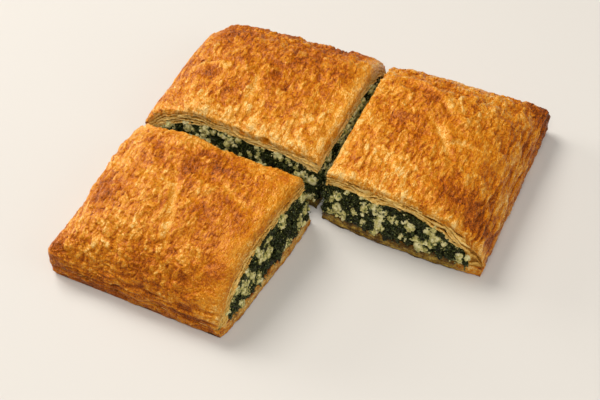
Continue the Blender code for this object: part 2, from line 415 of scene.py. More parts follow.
# %% [markdown]
# ## Finishes
#
# A mesh can carry numbers on its points, and here they drive the colours: `toast_and_shade`
# is how brown the pastry is, with painted highlight and painted shade from its relief in it,
# `crumb` is 1 where its inside shows, `soaked` is 1 where it drank the juice of the filling,
# which also stands for painted shade under the filling, `tone` is how clean the cheese is,
# lower on the underside of a crumb as painted shade, and `leaf` is high on the crests of the
# greens as a painted highlight and low in their folds as painted shade. A painted image would
# need every mesh unwrapped first.
# The numbers come from the same rules as the shape, so both always agree. Finer mottling
# than the mesh can carry comes from noise in Object coordinates.

# %% Node helpers
def new_material(name):
    """A material with its tree, its shader and its Object coordinates."""
    made = bpy.data.materials.new(name)
    made.use_nodes = True
    tree = made.node_tree
    shader = tree.nodes["Principled BSDF"]
    coords = tree.nodes.new("ShaderNodeTexCoord")
    return made, tree, shader, coords.outputs["Object"]


def add_noise(tree, coords, size, detail=3.0, roughness=0.55, distortion=0.0):
    """A noise whose features are about this size, in metres."""
    node = tree.nodes.new("ShaderNodeTexNoise")
    node.inputs["Scale"].default_value = 1.0 / size
    node.inputs["Detail"].default_value = detail
    node.inputs["Roughness"].default_value = roughness
    node.inputs["Distortion"].default_value = distortion
    tree.links.new(coords, node.inputs["Vector"])
    return node.outputs["Fac"]


def add_attribute(tree, name):
    """The number that the mesh carries under this name."""
    node = tree.nodes.new("ShaderNodeAttribute")
    node.attribute_name = name
    return node.outputs["Fac"]


def add_math(tree, operation, *values):
    """One sum. Each value may be a number or a socket."""
    node = tree.nodes.new("ShaderNodeMath")
    node.operation = operation
    for socket, value in zip(node.inputs, values):
        if isinstance(value, (int, float)):
            socket.default_value = value
        else:
            tree.links.new(value, socket)
    return node.outputs["Value"]


def add_ramp(tree, value, stops):
    """A ramp over (place, colour) stops."""
    node = tree.nodes.new("ShaderNodeValToRGB")
    elements = node.color_ramp.elements
    while len(elements) < len(stops):
        elements.new(0.5)
    for element, (place, colour) in zip(elements, stops):
        element.position = place
        element.color = (*colour, 1.0)
    tree.links.new(value, node.inputs["Fac"])
    return node.outputs["Color"]


def add_mix(tree, amount, first, second):
    """Mixes two colours by a socket."""
    node = tree.nodes.new("ShaderNodeMix")
    node.data_type = "RGBA"
    tree.links.new(amount, node.inputs["Factor"])
    tree.links.new(first, node.inputs["A"])
    tree.links.new(second, node.inputs["B"])
    return node.outputs["Result"]


def add_bump(tree, shader, height, strength, distance):
    """Fine relief from a height socket."""
    node = tree.nodes.new("ShaderNodeBump")
    node.inputs["Strength"].default_value = strength
    node.inputs["Distance"].default_value = distance
    tree.links.new(height, node.inputs["Height"])
    tree.links.new(node.outputs["Normal"], shader.inputs["Normal"])


# %% [markdown]
# ## Baked pastry
#
# Pastry goes from pale dough through gold to dark brown as it bakes, so its colour is a
# ramp over `toast_and_shade`, which holds painted highlight and shade from the relief too.
# Where the knife opened it a second ramp takes over, cream on the sheets and dark brown in
# the gaps as painted shade, and a third is for the edge of the bottom crust, which the
# filling made wet. Three materials could do the same, but then each border would be as hard
# as the faces are. The egg wash shines most where it lies thick on pale skin, and crumb is
# dull, so the roughness follows `toast_and_shade` and `crumb` too.

# %% Colours and finish of the pastry
CRUST_COLOURS = (
    (0.00, (0.82, 0.53, 0.180)),
    (0.22, (0.71, 0.31, 0.032)),
    (0.46, (0.57, 0.180, 0.002)),
    (0.68, (0.41, 0.090, 0.001)),
    (0.85, (0.24, 0.044, 0.001)),
    (1.00, (0.08, 0.016, 0.001)),
)
# The dark end of this ramp is reached in the gaps between sheets, where it is painted shade.
SHEET_COLOURS = (
    (0.00, (0.90, 0.65, 0.240)),
    (0.30, (0.83, 0.50, 0.110)),
    (0.70, (0.43, 0.170, 0.016)),
    (1.00, (0.12, 0.042, 0.006)),
)
SOAKED_COLOURS = (
    (0.00, (0.56, 0.41, 0.100)),
    (0.30, (0.33, 0.220, 0.034)),
    (0.60, (0.11, 0.066, 0.008)),
    (1.00, (0.020, 0.012, 0.002)),
)
MOTTLE_SIZE = 0.9 * MM
SPECK_SIZE = 0.35 * MM
CRINKLE_SIZE = 1.0 * MM
CRINKLE_DEPTH = 0.9 * MM
EGG_TINT = (1.0, 0.70, 0.36, 1.0)    # a highlight on egg wash is warm


def pastry_material():
    """Skin, opened layers and soaked edge in one."""
    made, tree, shader, coords = new_material("baked_pastry")
    grained = tree.nodes.new("ShaderNodeMapping")
    grained.inputs["Scale"].default_value = GRAIN
    tree.links.new(coords, grained.inputs["Vector"])
    mottled = add_noise(tree, grained.outputs["Vector"], MOTTLE_SIZE, 4.0, 0.7, 0.5)
    specks = add_noise(tree, grained.outputs["Vector"], SPECK_SIZE, 2.0)
    crinkles = add_noise(tree, grained.outputs["Vector"], CRINKLE_SIZE, 1.5, 0.5, 0.8)
    shift = add_math(tree, "MULTIPLY", add_math(tree, "SUBTRACT", 0.5, mottled), 0.9)
    fine = add_math(tree, "SUBTRACT", 0.5, specks)
    toast_and_shade = add_math(tree, "ADD", add_attribute(tree, "toast_and_shade"), add_math(tree, "ADD", shift, fine))
    crumb = add_attribute(tree, "crumb")
    skin_colour = add_ramp(tree, toast_and_shade, CRUST_COLOURS)
    sheet_colour = add_ramp(tree, toast_and_shade, SHEET_COLOURS)
    colour = add_mix(tree, crumb, skin_colour, sheet_colour)
    soaked_colour = add_ramp(tree, toast_and_shade, SOAKED_COLOURS)
    colour = add_mix(tree, add_attribute(tree, "soaked"), colour, soaked_colour)
    tree.links.new(colour, shader.inputs["Base Color"])
    rough = add_math(tree, "MULTIPLY_ADD", toast_and_shade, 0.42, 0.12)
    rough = add_math(tree, "MULTIPLY_ADD", crumb, 0.45, rough)
    tree.links.new(rough, shader.inputs["Roughness"])
    shader.inputs["Specular IOR Level"].default_value = 0.38
    shader.inputs["Specular Tint"].default_value = EGG_TINT
    add_bump(tree, shader, crinkles, 1.0, CRINKLE_DEPTH)
    return made


pastry = pastry_material()
print("finish:", pastry.name)

# %% [markdown]
# ## Crumbled cheese
#
# White cheese in a filling is never quite white. It is cream where it is clean, and the
# juice of the greens stains it yellow and olive. So its colour is a ramp over `tone`, made
# patchy by two noises, and lower on the underside and back of each crumb, where it is painted
# shade as well as stain. Light goes a short way into it and comes out again, which a little
# subsurface does. Without it the crumbs would look like chalk.

# %% Colours and finish of the cheese
CHEESE_COLOURS = (
    (0.00, (0.03, 0.05, 0.012)),
    (0.14, (0.16, 0.17, 0.030)),
    (0.32, (0.42, 0.37, 0.090)),
    (0.55, (0.62, 0.55, 0.20)),
    (0.90, (0.80, 0.73, 0.39)),
)
CHEESE_GRAIN = 0.7 * MM
CHEESE_PATCH = 2.0 * MM


def cheese_material():
    """Soft white cheese, stained by juice in patches."""
    made, tree, shader, coords = new_material("crumbled_cheese")
    grain = add_noise(tree, coords, CHEESE_GRAIN, 3.0)
    soaked = add_noise(tree, coords, CHEESE_PATCH, 1.0)
    patchy = add_math(tree, "MULTIPLY_ADD", soaked, 1.6, add_math(tree, "SUBTRACT", grain, 1.3))
    value = add_math(tree, "ADD", add_attribute(tree, "tone"), patchy)
    tree.links.new(add_ramp(tree, value, CHEESE_COLOURS), shader.inputs["Base Color"])
    shader.inputs["Roughness"].default_value = 0.5
    shader.inputs["Subsurface Weight"].default_value = 0.12
    shader.inputs["Subsurface Radius"].default_value = (1.0, 0.8, 0.5)
    shader.inputs["Subsurface Scale"].default_value = 0.8 * MM
    add_bump(tree, shader, add_math(tree, "ADD", grain, soaked), 0.8, 0.5 * MM)
    return made


cheese_finish = cheese_material()
print("finish:", cheese_finish.name)

# %% [markdown]
# ## Wet greens
#
# Cooked greens are nearly black. A little olive is painted on the crests of their crumples
# as a highlight, where a thin leaf edge would let light through, and the folds stay black as
# painted shade. They are wet, so what shines on them is small and sharp: the roughness is
# low, and so is the strength of the reflection, because a strong one turns them grey.

# %% Colours and finish of the greens
# The pale top of this ramp is reached mostly on the crests of the greens, as a painted highlight.
GREENS_COLOURS = (
    (0.20, (0.001, 0.001, 0.001)),
    (0.48, (0.009, 0.014, 0.003)),
    (0.72, (0.060, 0.075, 0.015)),
    (0.96, (0.24, 0.26, 0.10)),
)
VEIN_SIZE = 0.65 * MM
LEAF_FOLD = 0.9 * MM


def greens_material():
    """Wet, almost black greens."""
    made, tree, shader, coords = new_material("wet_greens")
    veins = add_noise(tree, coords, VEIN_SIZE, 4.0, 0.7, 1.2)
    mottled = add_math(tree, "MULTIPLY_ADD", veins, 2.6, -1.05)
    value = add_math(tree, "MULTIPLY_ADD", add_attribute(tree, "leaf"), 0.5, mottled)
    tree.links.new(add_ramp(tree, value, GREENS_COLOURS), shader.inputs["Base Color"])
    shader.inputs["Roughness"].default_value = 0.15
    shader.inputs["Specular IOR Level"].default_value = 0.2
    shader.inputs["Specular Tint"].default_value = (1.0, 0.95, 0.65, 1.0)
    folds = add_noise(tree, coords, LEAF_FOLD, 1.5, 0.5, 0.8)
    add_bump(tree, shader, folds, 1.0, 1.0 * MM)
    return made


greens_finish = greens_material()
print("finish:", greens_finish.name)

# %% [markdown]
# ## Browning, creases and folds
#
# No two quarters baked alike. The lines are folds in the dough: some are pale creases,
# which the heat didn't reach, and some are low ridges. The spots are where the crust got
# browner or stayed paler. Each is a place on the pie with a size, so they stay put from
# every side. A painted image could do the same, but a handful of named marks can be read
# and changed.
#
# A crease is its rise, its width, its paleness and then its points. A browned spot is a
# place, a radius and a strength, which is below 0 where the crust stayed paler; a few wide
# ones of front_left are painted shade. A smooth spot is a place, a radius and how much of its
# relief is gone. "brown" is how far the whole quarter baked. The pairs are for the two cuts
# or the two outer sides: "side_light_and_brown" is how much darker each outer side is
# painted, partly real browning and partly painted light, paler as a sheen on a side that
# faces the lamps and darker as shade on one turned away, "calm" how smooth the knife left
# the skin at each cut and "calm_reach" how far from it, "cut_round" how far the edge there
# is rounded, and "streaks" from what slope on each outer side shows level streaks. Along
# both cuts, "rim_pale" is how much paler the rim of the skin is, "layers_light_and_brown"
# how much browner the opened layers are, where a value below 0 paints a shaded cut paler as
# painted light, and "end_brown" how much browner they get near the outer sides.

# %% Marks of each quarter, in millimetres
MARKS = {
    "front_left": {
        "creases": [
            (-1.4, 1.7, 0.22, (-33.6, -73.0), (-37.6, -59.8), (-42.5, -46.5), (-48.4, -33.2)),
            (-0.9, 1.4, 0.22, (-27.8, -33.3), (-16.2, -40.4), (-5.4, -43.4)),
        ],
        "browned": [
            (-40.8, -23.0, 7, 0.14), (-26.0, -27.5, 9, 0.28), (-42.0, -38.4, 7, 0.26),
            (-15.6, -62.8, 7, 0.20), (-6.5, -76.0, 7, 0.26), (-64.3, -30.1, 8, 0.18),
            (-74.0, -54.0, 11, 0.24), (-20.1, -82.0, 8, 0.16), (-82.0, -84.0, 9, 0.35),
            # The wide spots at x = -7 along the right cut, and the one at y = -90 on the front side, are
            # painted shade where this quarter turns from the key light.
            (-7.5, -52.0, 6, 0.14), (-7.0, -46.0, 14, 0.10), (-7.0, -22.0, 10, 0.10),
            (-50.0, -90.0, 14, 0.14), (-4.0, -88.0, 9, -0.14),
        ],
        "brown": 0.33,
        # Painted light: the left side is painted paler as a sheen and the front side darker as shade.
        "side_light_and_brown": (-0.12, 0.05),
        "smooth": [(-5.0, -35.0, 9, 0.5)],
        "calm": (0.9, 0.45),
        "calm_reach": (17.0, 9.0),
        "cut_round": (3.0, 1.5),
        "rim_pale": 0.12,
        "layers_light_and_brown": 0.04,
        "end_brown": 0.0,
        "streaks": (0.70, 0.62),
    },
    "back_left": {
        "creases": [
            (-1.1, 1.6, 0.26, (-38.2, 12.1), (-39.0, 24.0), (-41.4, 34.7)),
            (
                1.1, 1.5, 0.30,
                (-76.4, 25.6), (-70.5, 28.3), (-65.9, 31.7), (-60.8, 33.3), (-56.2, 28.5),
            ),
        ],
        "browned": [
            (-65.5, 25.0, 6, 0.24), (-66.5, 56.5, 9, 0.26), (-54.3, 49.8, 9, 0.2),
            (-36.5, 50.5, 10, 0.2), (-9.9, 48.8, 7, 0.26), (-24.3, 46.8, 8, 0.2),
            (-52.6, 15.7, 7, 0.14), (-70.0, 6.7, 6, 0.12), (-20.0, 66.0, 12, 0.2),
            (-72.0, 68.0, 12, 0.22), (-45.0, 73.0, 12, 0.24), (-15.0, 78.0, 12, 0.24),
            (-62.0, 12.0, 12, -0.18), (-35.0, 7.0, 12, -0.18), (-8.0, 8.0, 11, -0.16),
            (-3.0, 84.0, 10, 0.16),
        ],
        "brown": 0.38,
        "side_light_and_brown": (0.08, 0.12),
        "smooth": [(-34.0, 20.0, 9, 0.35), (-10.0, 30.0, 10, 0.45)],
        "calm": (0.25, 0.75),
        "calm_reach": (9.0, 10.0),
        "cut_round": (3.4, 2.8),
        "rim_pale": 0.26,
        # Below 0, so this quarter's opened layers are painted paler: painted light on a cut the lamps
        # leave in shade.
        "layers_light_and_brown": -0.14,
        "end_brown": 0.0,
        "streaks": (0.75, 0.86),
    },
    "back_right": {
        "creases": [
            (-1.4, 1.6, 0.24, (41.7, 41.6), (47.4, 36.7), (54.9, 28.0), (60.8, 19.5)),
            (-1.1, 1.3, 0.22, (54.9, 28.0), (59.5, 32.2), (66.0, 33.0)),
            (1.2, 1.8, 0.18, (13.9, 61.1), (24.7, 61.9), (34.8, 59.8), (42.7, 55.5), (50.9, 48.4)),
        ],
        "browned": [
            (28.1, 57.0, 7, 0.22), (37.3, 55.0, 6, 0.22), (32.3, 28.2, 8, 0.2),
            (25.2, 35.2, 7, 0.16), (73.9, 3.2, 8, 0.3), (65.2, 7.4, 7, 0.2),
            (85.0, 0.0, 6, 0.26), (80.5, 57.5, 9, 0.22), (77.7, 26.2, 7, 0.2),
            (88.0, 88.0, 14, 0.65), (18.0, 4.0, 10, -0.10), (42.0, 3.0, 11, -0.12),
        ],
        "brown": 0.355,
        "side_light_and_brown": (-0.04, 0.12),
        "smooth": [(50.0, 34.0, 10, 0.65), (74.0, 35.0, 15, 0.75), (64.0, 15.0, 9, 0.4)],
        "calm": (0.35, 0.15),
        "calm_reach": (9.0, 8.0),
        "cut_round": (2.0, 2.4),
        "rim_pale": 0.20,
        "layers_light_and_brown": 0.0,
        "end_brown": 0.3,
        "streaks": (0.95, 0.88),
    },
}

for name, marks in MARKS.items():
    print(f"{name}: {len(marks['creases'])} creases, {len(marks['browned'])} browned spots")


# %% What the marks do at a place
CREASE_END = 0.06                    # nearer its ends than this share, a crease fades no further
FAR_CREASE = 4                       # widths past which a crease does nothing
FAR_SPOT = 6                         # squared radii past which a spot does nothing


def crease_effect(marks, x, y):
    """Rise in millimetres, paleness and smoothness that the creases give at a place."""
    rise = 0.0
    pale = 0.0
    smooth = 0.0
    for deep, width, light, *points in marks["creases"]:
        away, reached = line_distance(x, y, points)
        if away > FAR_CREASE * width:
            continue
        fade = math.sin(math.pi * min(max(reached, CREASE_END), 1.0 - CREASE_END)) ** 0.5
        near = math.exp(-(away / width) ** 2) * fade
        rise += deep * near
        pale += light * near
        smooth = max(smooth, 0.8 * fade * math.exp(-(away / (1.5 * width)) ** 2))
    return rise, pale, smooth


def from_spot(x, y, spot_x, spot_y, radius):
    """Squared distance from the middle of a spot, counted in its radius."""
    return ((x - spot_x) ** 2 + (y - spot_y) ** 2) / radius ** 2


def browned_effect(marks, x, y):
    """How much browner the crust is at a place."""
    total = 0.0
    for spot_x, spot_y, radius, strength in marks["browned"]:
        squared = from_spot(x, y, spot_x, spot_y, radius)
        if squared < FAR_SPOT:
            total += strength * math.exp(-squared)
    return total


def calm_effect(marks, x, y, from_cuts):
    """How much smoother the skin is at a place, beside a cut or in a smooth spot."""
    calm = 0.0
    for amount, reach, distance in zip(marks["calm"], marks["calm_reach"], from_cuts):
        calm = max(calm, amount * math.exp(-(distance / (reach * MM)) ** 2))
    for spot_x, spot_y, radius, amount in marks["smooth"]:
        calm = max(calm, amount * math.exp(-from_spot(x, y, spot_x, spot_y, radius)))
    return calm


# %% [markdown]
# ## The baked skin
#
# The relief of the top is built up from large to small: the pillow's own swells and
# blisters, flakes, chips a few millimetres wide and finer chips on them. Along the creases,
# in the smooth spots and beside a cut, where the knife dragged the skin, it is calmer. On
# the sides the chips give way to level folds and the lines of the layers. The same numbers
# that raise the skin also set its colour, partly as painted light: the high side of a chip
# is painted paler as a highlight, the valleys around it darker as shade, and the outer sides
# are painted darker toward the foot, as shade where they curve under.
# A sculpted skin could be as rich, but each change would mean sculpting it again.

# %% Sizes of the skin's relief
SWELL_SIZE = 24.0 * MM
SWELL_HEIGHT = 0.7 * MM
BLISTER_SIZE = 9.0 * MM
BLISTER_HEIGHT = 1.2 * MM
CHIP_SIZE = 2.7 * MM
CHIP_HEIGHT = 0.40 * MM
CHIP_LEAN = 1.9 * MM
HIGHEST_CHIP = 1.5 * MM              # relief near this height is pressed down, so none is a spike
FINE_CHIP_SIZE = 1.0 * MM
FINE_CHIP_HEIGHT = 0.25 * CHIP_HEIGHT
FINE_CHIP_LEAN = 0.6 * MM
FLAKE_SIZE = 9.0 * MM
FLAKE_HEIGHT = 0.55 * MM
MEAN_DOME = 0.6                      # taken off, so that the relief doesn't thicken the skin
MEAN_FLAKE = 0.45
FOLD_LENGTH = 19.0 * MM
FOLD_STEP = 2.5 * MM
FOLD_HEIGHT = 0.55 * MM
STRATA_LENGTH = 8.0 * MM
STRATA_STEP = 1.1 * MM
STRATA_HEIGHT = 0.2 * MM
DRIFT_SIZE = 6.0 * MM                # chips of one size look like tiles, so their places drift
DRIFT = 1.6                          # by this many millimetres, and jitter a little as well
JITTER_SIZE = 1.3 * MM
JITTER = 0.35
PATCH_SIZE = 17.0 * MM               # livelier and browner patches of the skin
CLOUD_SIZE = 5.0 * MM                # small clouds of brown in them


class SkinNoise:
    """What the noises say at one place of the skin."""

    def __init__(self, place, seed):
        seeded = place + seed
        drift = noise.noise_vector(seeded / DRIFT_SIZE) * DRIFT * MM
        jitter = noise.noise_vector(seeded / JITTER_SIZE) * JITTER * MM
        grained = (place + drift + jitter) * GRAIN + seed
        self.dome, self.lean, self.own = chips(grained, CHIP_SIZE)
        self.fine_dome, self.fine_lean, _ = chips(grained + seed, FINE_CHIP_SIZE)
        self.flake, self.lip = flakes(grained - seed * 2, FLAKE_SIZE)
        self.folds = strata(place + drift * 0.8, FOLD_LENGTH, FOLD_STEP)
        self.lines = strata(place + drift * 0.3 + seed, STRATA_LENGTH, STRATA_STEP)
        self.blister = noise.fractal(place / BLISTER_SIZE + seed * 10, 1.0, 2.0, 2)
        self.swell = noise.noise(place / SWELL_SIZE + seed * 70)
        self.patches = noise.noise(seeded / PATCH_SIZE)
        self.clouds = noise.noise(seeded / CLOUD_SIZE)


def skin_rise(here, calm, steepness, crease_rise):
    """How far the skin rises in metres: by its chips on the top, by its folds on a side."""
    relief = CHIP_HEIGHT * (here.dome - MEAN_DOME) + CHIP_LEAN * here.lean
    relief += FLAKE_HEIGHT * (here.flake - MEAN_FLAKE)
    relief += FINE_CHIP_LEAN * here.fine_lean + FINE_CHIP_HEIGHT * (here.fine_dome - MEAN_DOME)
    lively = (1.0 - calm) * (1.0 + 0.5 * here.patches)
    relief *= lively / (1.0 + abs(relief) / HIGHEST_CHIP)
    broad = BLISTER_HEIGHT * here.blister
    broad += SWELL_HEIGHT * here.swell
    broad += crease_rise * MM
    side = FOLD_HEIGHT * here.folds + STRATA_HEIGHT * here.lines
    return broad * (1.0 - 0.5 * steepness) + relief * (1.0 - 0.75 * steepness) + side * steepness


# %% Browning of the skin
PALE_RIM = 4.5 * MM                  # how far in from a cut the skin stays paler
LOW_SHADE_HEIGHT = 16.0 * MM              # under this height the outer sides are painted darker toward the foot, as painted shade
SHADED_CLEFT = (-0.35, -0.9)                # folds this deep are clefts, painted darker as painted shade
SLOW_BROWNING = 0.8                  # past this the crust browns more slowly
SLOW_PACE = 0.3


def relief_light_and_browning(here, calm, steepness):
    """How much the relief of the top changes the skin's colour: the high side of a chip and a flake's
    lip are painted paler as a highlight, valleys and the gap under a lip darker as shade, and each chip
    browns a little its own way.
    """
    relief_shade_and_tone = 0.24 * here.lean + 0.22 * (here.dome - MEAN_DOME)
    relief_shade_and_tone += 0.15 * here.lip + 0.14 * (here.own - 0.5)
    relief_shade_and_tone += 0.16 * here.fine_lean + 0.18 * (here.fine_dome - MEAN_DOME)
    return -relief_shade_and_tone * (1.0 - 0.7 * calm) * (1.0 - 0.15 * steepness)


def side_light_and_browning(here, height, side_light_and_brown):
    """How much darker the skin is painted on an outer side at this height: the side's own value, paler
    on the crests of folds and lines as a painted highlight, and darker in clefts and toward the foot as
    painted shade.
    """
    cleft_shade = smooth_step(*SHADED_CLEFT, here.folds)
    low = max(1.0 - height / LOW_SHADE_HEIGHT, 0.0)
    return side_light_and_brown - 0.14 * here.folds - 0.08 * here.lines + 0.14 * cleft_shade + 0.18 * low


def skin(quarter, marks, place, steepness, from_cuts, side_light_and_brown):
    """Rise of the skin in metres, and its browning from 0, pale, to 1, dark, with painted highlight and
    shade in it.
    """
    here = SkinNoise(place, Vector((0.0, 0.0, quarter.seed * 0.1)))
    x, y = place.x / MM, place.y / MM
    crease_rise, pale, crease_smooth = crease_effect(marks, x, y)
    calm = max(calm_effect(marks, x, y, from_cuts), crease_smooth) * (1.0 - 0.6 * steepness)
    rim = math.exp(-(min(from_cuts) / PALE_RIM) ** 2)
    clouds = 0.17 * here.patches + 0.12 * here.clouds
    brown = marks["brown"] + clouds * (1.0 - 0.6 * calm) + 0.04 * calm
    brown += browned_effect(marks, x, y) * (0.7 + 0.5 * here.dome) - pale - marks["rim_pale"] * rim
    brown += relief_light_and_browning(here, calm, steepness)
    brown += steepness * side_light_and_browning(here, place.z, side_light_and_brown)
    brown = min(brown, SLOW_BROWNING + SLOW_PACE * max(brown - SLOW_BROWNING, 0.0))
    return skin_rise(here, calm, steepness, crease_rise), brown


# %% [markdown]
# ## Where the knife opened the layers
#
# Puff pastry is folded dough, so a cut through it shows a stack of thin sheets. They
# wander, touch and part again. Modelling every sheet on its own would make hundreds of
# thin, crossing pieces. One face that goes in and out with the sheets gives the same
# light and shade, and stays closed. The height in the stack is bent by noise, and each
# gap between two sheets opens and shuts along the cut. Toward an outer side the layers
# are baked together, so there the gaps close.

# %% Relief of a cut edge
SHEETS = 3.8                         # how many sheets show, one over the other
SHEET_DEPTH = 1.0 * MM               # how deep the gap under a sheet is
SHEET_STEP = 0.9 * MM                # how far one sheet stands out past another
CUT_WANDER = 0.5 * MM
CUT_ROUGH = 0.15 * MM
BROWNED_END = 15.0 * MM              # near the outer sides the heat reached the cut's layers


def near_end(along):
    """0 along most of a cut, 1 close to the outer side where it ends."""
    return smooth_step(BROWNED_END, 0.25 * BROWNED_END, along)


def sheet_bend(quarter, along, share):
    """How far the sheets wander up and down here, counted in sheets."""
    seed = quarter.seed
    bend = 1.5 * noise_at(along / (19.0 * MM), share * 1.1, seed * 3.7)
    bend += 0.7 * noise_at(along / (7.0 * MM), share * 2.0, seed * 1.9)
    return bend + 0.2 * noise_at(along / (2.2 * MM), share * 3.0, seed * 2.9)


def cut_edge(quarter, marks, along, height, share):
    """How far a cut edge stands out here, in metres, and how brown its crumb is painted, with painted
    shade in the gaps and a painted highlight on the lips.
    """
    seed = quarter.seed
    level = share * SHEETS + sheet_bend(quarter, along, share)
    sheet = math.floor(level)
    up = level - sheet
    end = near_end(along)
    wander = noise_at(along / (8.0 * MM), sheet * 5.3, seed * 2.3)
    opened = smooth_step(-0.30, 0.25, wander) * (1.0 - 0.7 * end)
    slit = 0.10 + 0.34 * opened
    gap = (1.0 - smooth_step(slit, slit + 0.12, up)) * (0.25 + 0.75 * opened)
    lip = smooth_step(0.45, 0.95, up)
    stands = noise_at(along / (7.0 * MM), sheet * 4.1, seed * 5.1)
    torn = noise_at(along / (1.6 * MM), sheet * 2.7, seed * 4.3)
    out = SHEET_STEP * ((0.5 + stands + 0.5 * torn) * lip - 0.3)
    out -= SHEET_DEPTH * gap * (1.0 - 0.6 * end)
    whole = noise_at(along / (14.0 * MM), 0.0, seed * 6.1)
    rough = noise_at(along / (0.8 * MM), height / (0.5 * MM), seed)
    out += CUT_WANDER * whole + CUT_ROUGH * rough
    fibres = noise_at(along / (5.0 * MM), height / (0.45 * MM), seed * 3.1)
    # Painted light: the lips are painted paler as a highlight and the gaps much darker as shade; stands,
    # torn and fibres are the crumb's own browning.
    brown = 0.42 + 0.10 * share ** 2 - 0.34 * lip + 0.2 * stands + 0.16 * torn + 0.2 * fibres
    brown += 0.8 * gap * (1.0 - 0.6 * end) + marks["end_brown"] * end + marks["layers_light_and_brown"]
    return out, brown


# %% [markdown]
# ## Top crust
#
# The top crust starts as the block and is set on the pillow's form. Then every point of
# its skin is pushed out along the normal by the relief, and the walls under a cut edge
# are pushed sideways instead, by the stack of sheets. A displacement texture could move
# the points too, but it can't change its direction at an edge. The rim of the skin hangs
# unevenly over the layers, because the knife tore it.

# %% Helpers for the crusts' edges
SEAM_WAVE = 1.2 * MM                 # how far the line where the crusts meet goes up and down
SEAM_DEPTH = 0.45 * MM               # and how far it draws in
SEAM_HEIGHT = 0.9 * MM
SEAM_SHADE = 0.12                    # how much darker the bottom of the groove is painted, a painted shade


def seam_shift(quarter, a, b):
    """The line where the two crusts meet on an outer side isn't straight."""
    inside = min(a * quarter.length_a, b * quarter.length_b)
    place = quarter.plan(a, b, 0.0)
    wave = noise.noise(place / (13.0 * MM) + Vector((0.0, 0.0, quarter.seed)))
    return SEAM_WAVE * wave * max(1.0 - inside / SEAL_WIDTH, 0.0)


def seam_groove(quarter, a, b, height):
    """How far the crusts draw in where they meet on an outer side, in metres, below 0."""
    seam = BOTTOM_THICK + seam_shift(quarter, a, b)
    return -SEAM_DEPTH * math.exp(-((height - seam) / SEAM_HEIGHT) ** 2)


def steepness_of(normal, limit):
    """0 on the top, 1 on a side. Streaks start where the slope passes the limit."""
    return 1.0 - smooth_step(limit - 0.4, limit, normal.z)


def by_side(quarter, pair, a, b):
    """The value of the nearer outer side, with a soft change at the corner."""
    value_a, value_b = pair
    nearer_a = smooth_step(-10.0 * MM, 10.0 * MM, b * quarter.length_b - a * quarter.length_a)
    return value_b + (value_a - value_b) * nearer_a


def edge_rounding(quarter, marks, a, b):
    """How far the top drops where the knife rounded the edge over."""
    total = 0.0
    lengths = (quarter.length_a, quarter.length_b)
    for radius, share, length in zip(marks["cut_round"], (a, b), lengths):
        reach = radius * MM
        inside = max(1.0 - (1.0 - share) * length / reach, 0.0)
        total = max(total, reach * (1.0 - math.sqrt(1.0 - inside ** 2)))
    return 0.75 * total


def crust_span(quarter, marks, a, b):
    """Heights of the underside and the top of the top crust, without relief."""
    low = quarter.under(a, b) + seam_shift(quarter, a, b)
    return low, quarter.top(a, b) - edge_rounding(quarter, marks, a, b)


# %% Skin and rim of the top crust
CUT_STREAKS = (16.0 * MM, 9.0 * MM)  # heights between which a cut's rim turns to level streaks
INWARD = 0.02                        # share of a side by which that height is taken further in
RAGGED_RIM = 0.06                    # the layers reach no further up than this, so some rim stays
SEAM_SHARE = 0.03                    # points with a share below this may lie in the seam


def top_skin(quarter, marks, vert, a, b, layer):
    """How the skin's relief moves a point of the top crust, and how brown it makes it."""
    from_cuts = ((1 - a) * quarter.length_a, (1 - b) * quarter.length_b)
    side_light_and_brown = by_side(quarter, marks["side_light_and_brown"], a, b)
    if a > AT_CUT or b > AT_CUT:
        place = quarter.plan(a, b, quarter.top(a, b))
        inside = max(a - INWARD, 0.0)
        inner = quarter.plan(inside, b, quarter.top(inside, b))
        steep = smooth_step(*CUT_STREAKS, inner.z)
        rise, brown = skin(quarter, marks, place, steep, from_cuts, side_light_and_brown)
        return Vector((0.0, 0.0, rise * layer ** 1.5)), brown
    steep = steepness_of(vert.normal, by_side(quarter, marks["streaks"], a, b))
    rise, brown = skin(quarter, marks, vert.co, steep, from_cuts, side_light_and_brown)
    return vert.normal * rise, brown


def skin_on_cut(quarter, marks, side, along, layer):
    """1 where the skin hangs over a cut, 0 where the layers show, with a ragged line between."""
    ragged = 0.26 * noise_at(along / (4.5 * MM), 0.0, quarter.seed)
    ragged += 0.16 * noise_at(along / (1.2 * MM), 3.0, quarter.seed)
    ragged = min(ragged, RAGGED_RIM)
    dragged = 0.45 * marks["calm"][side]
    return smooth_step(0.80 - dragged + ragged, 0.93 + ragged, layer)


# %% Make the top crusts
TOP_ROWS = 10


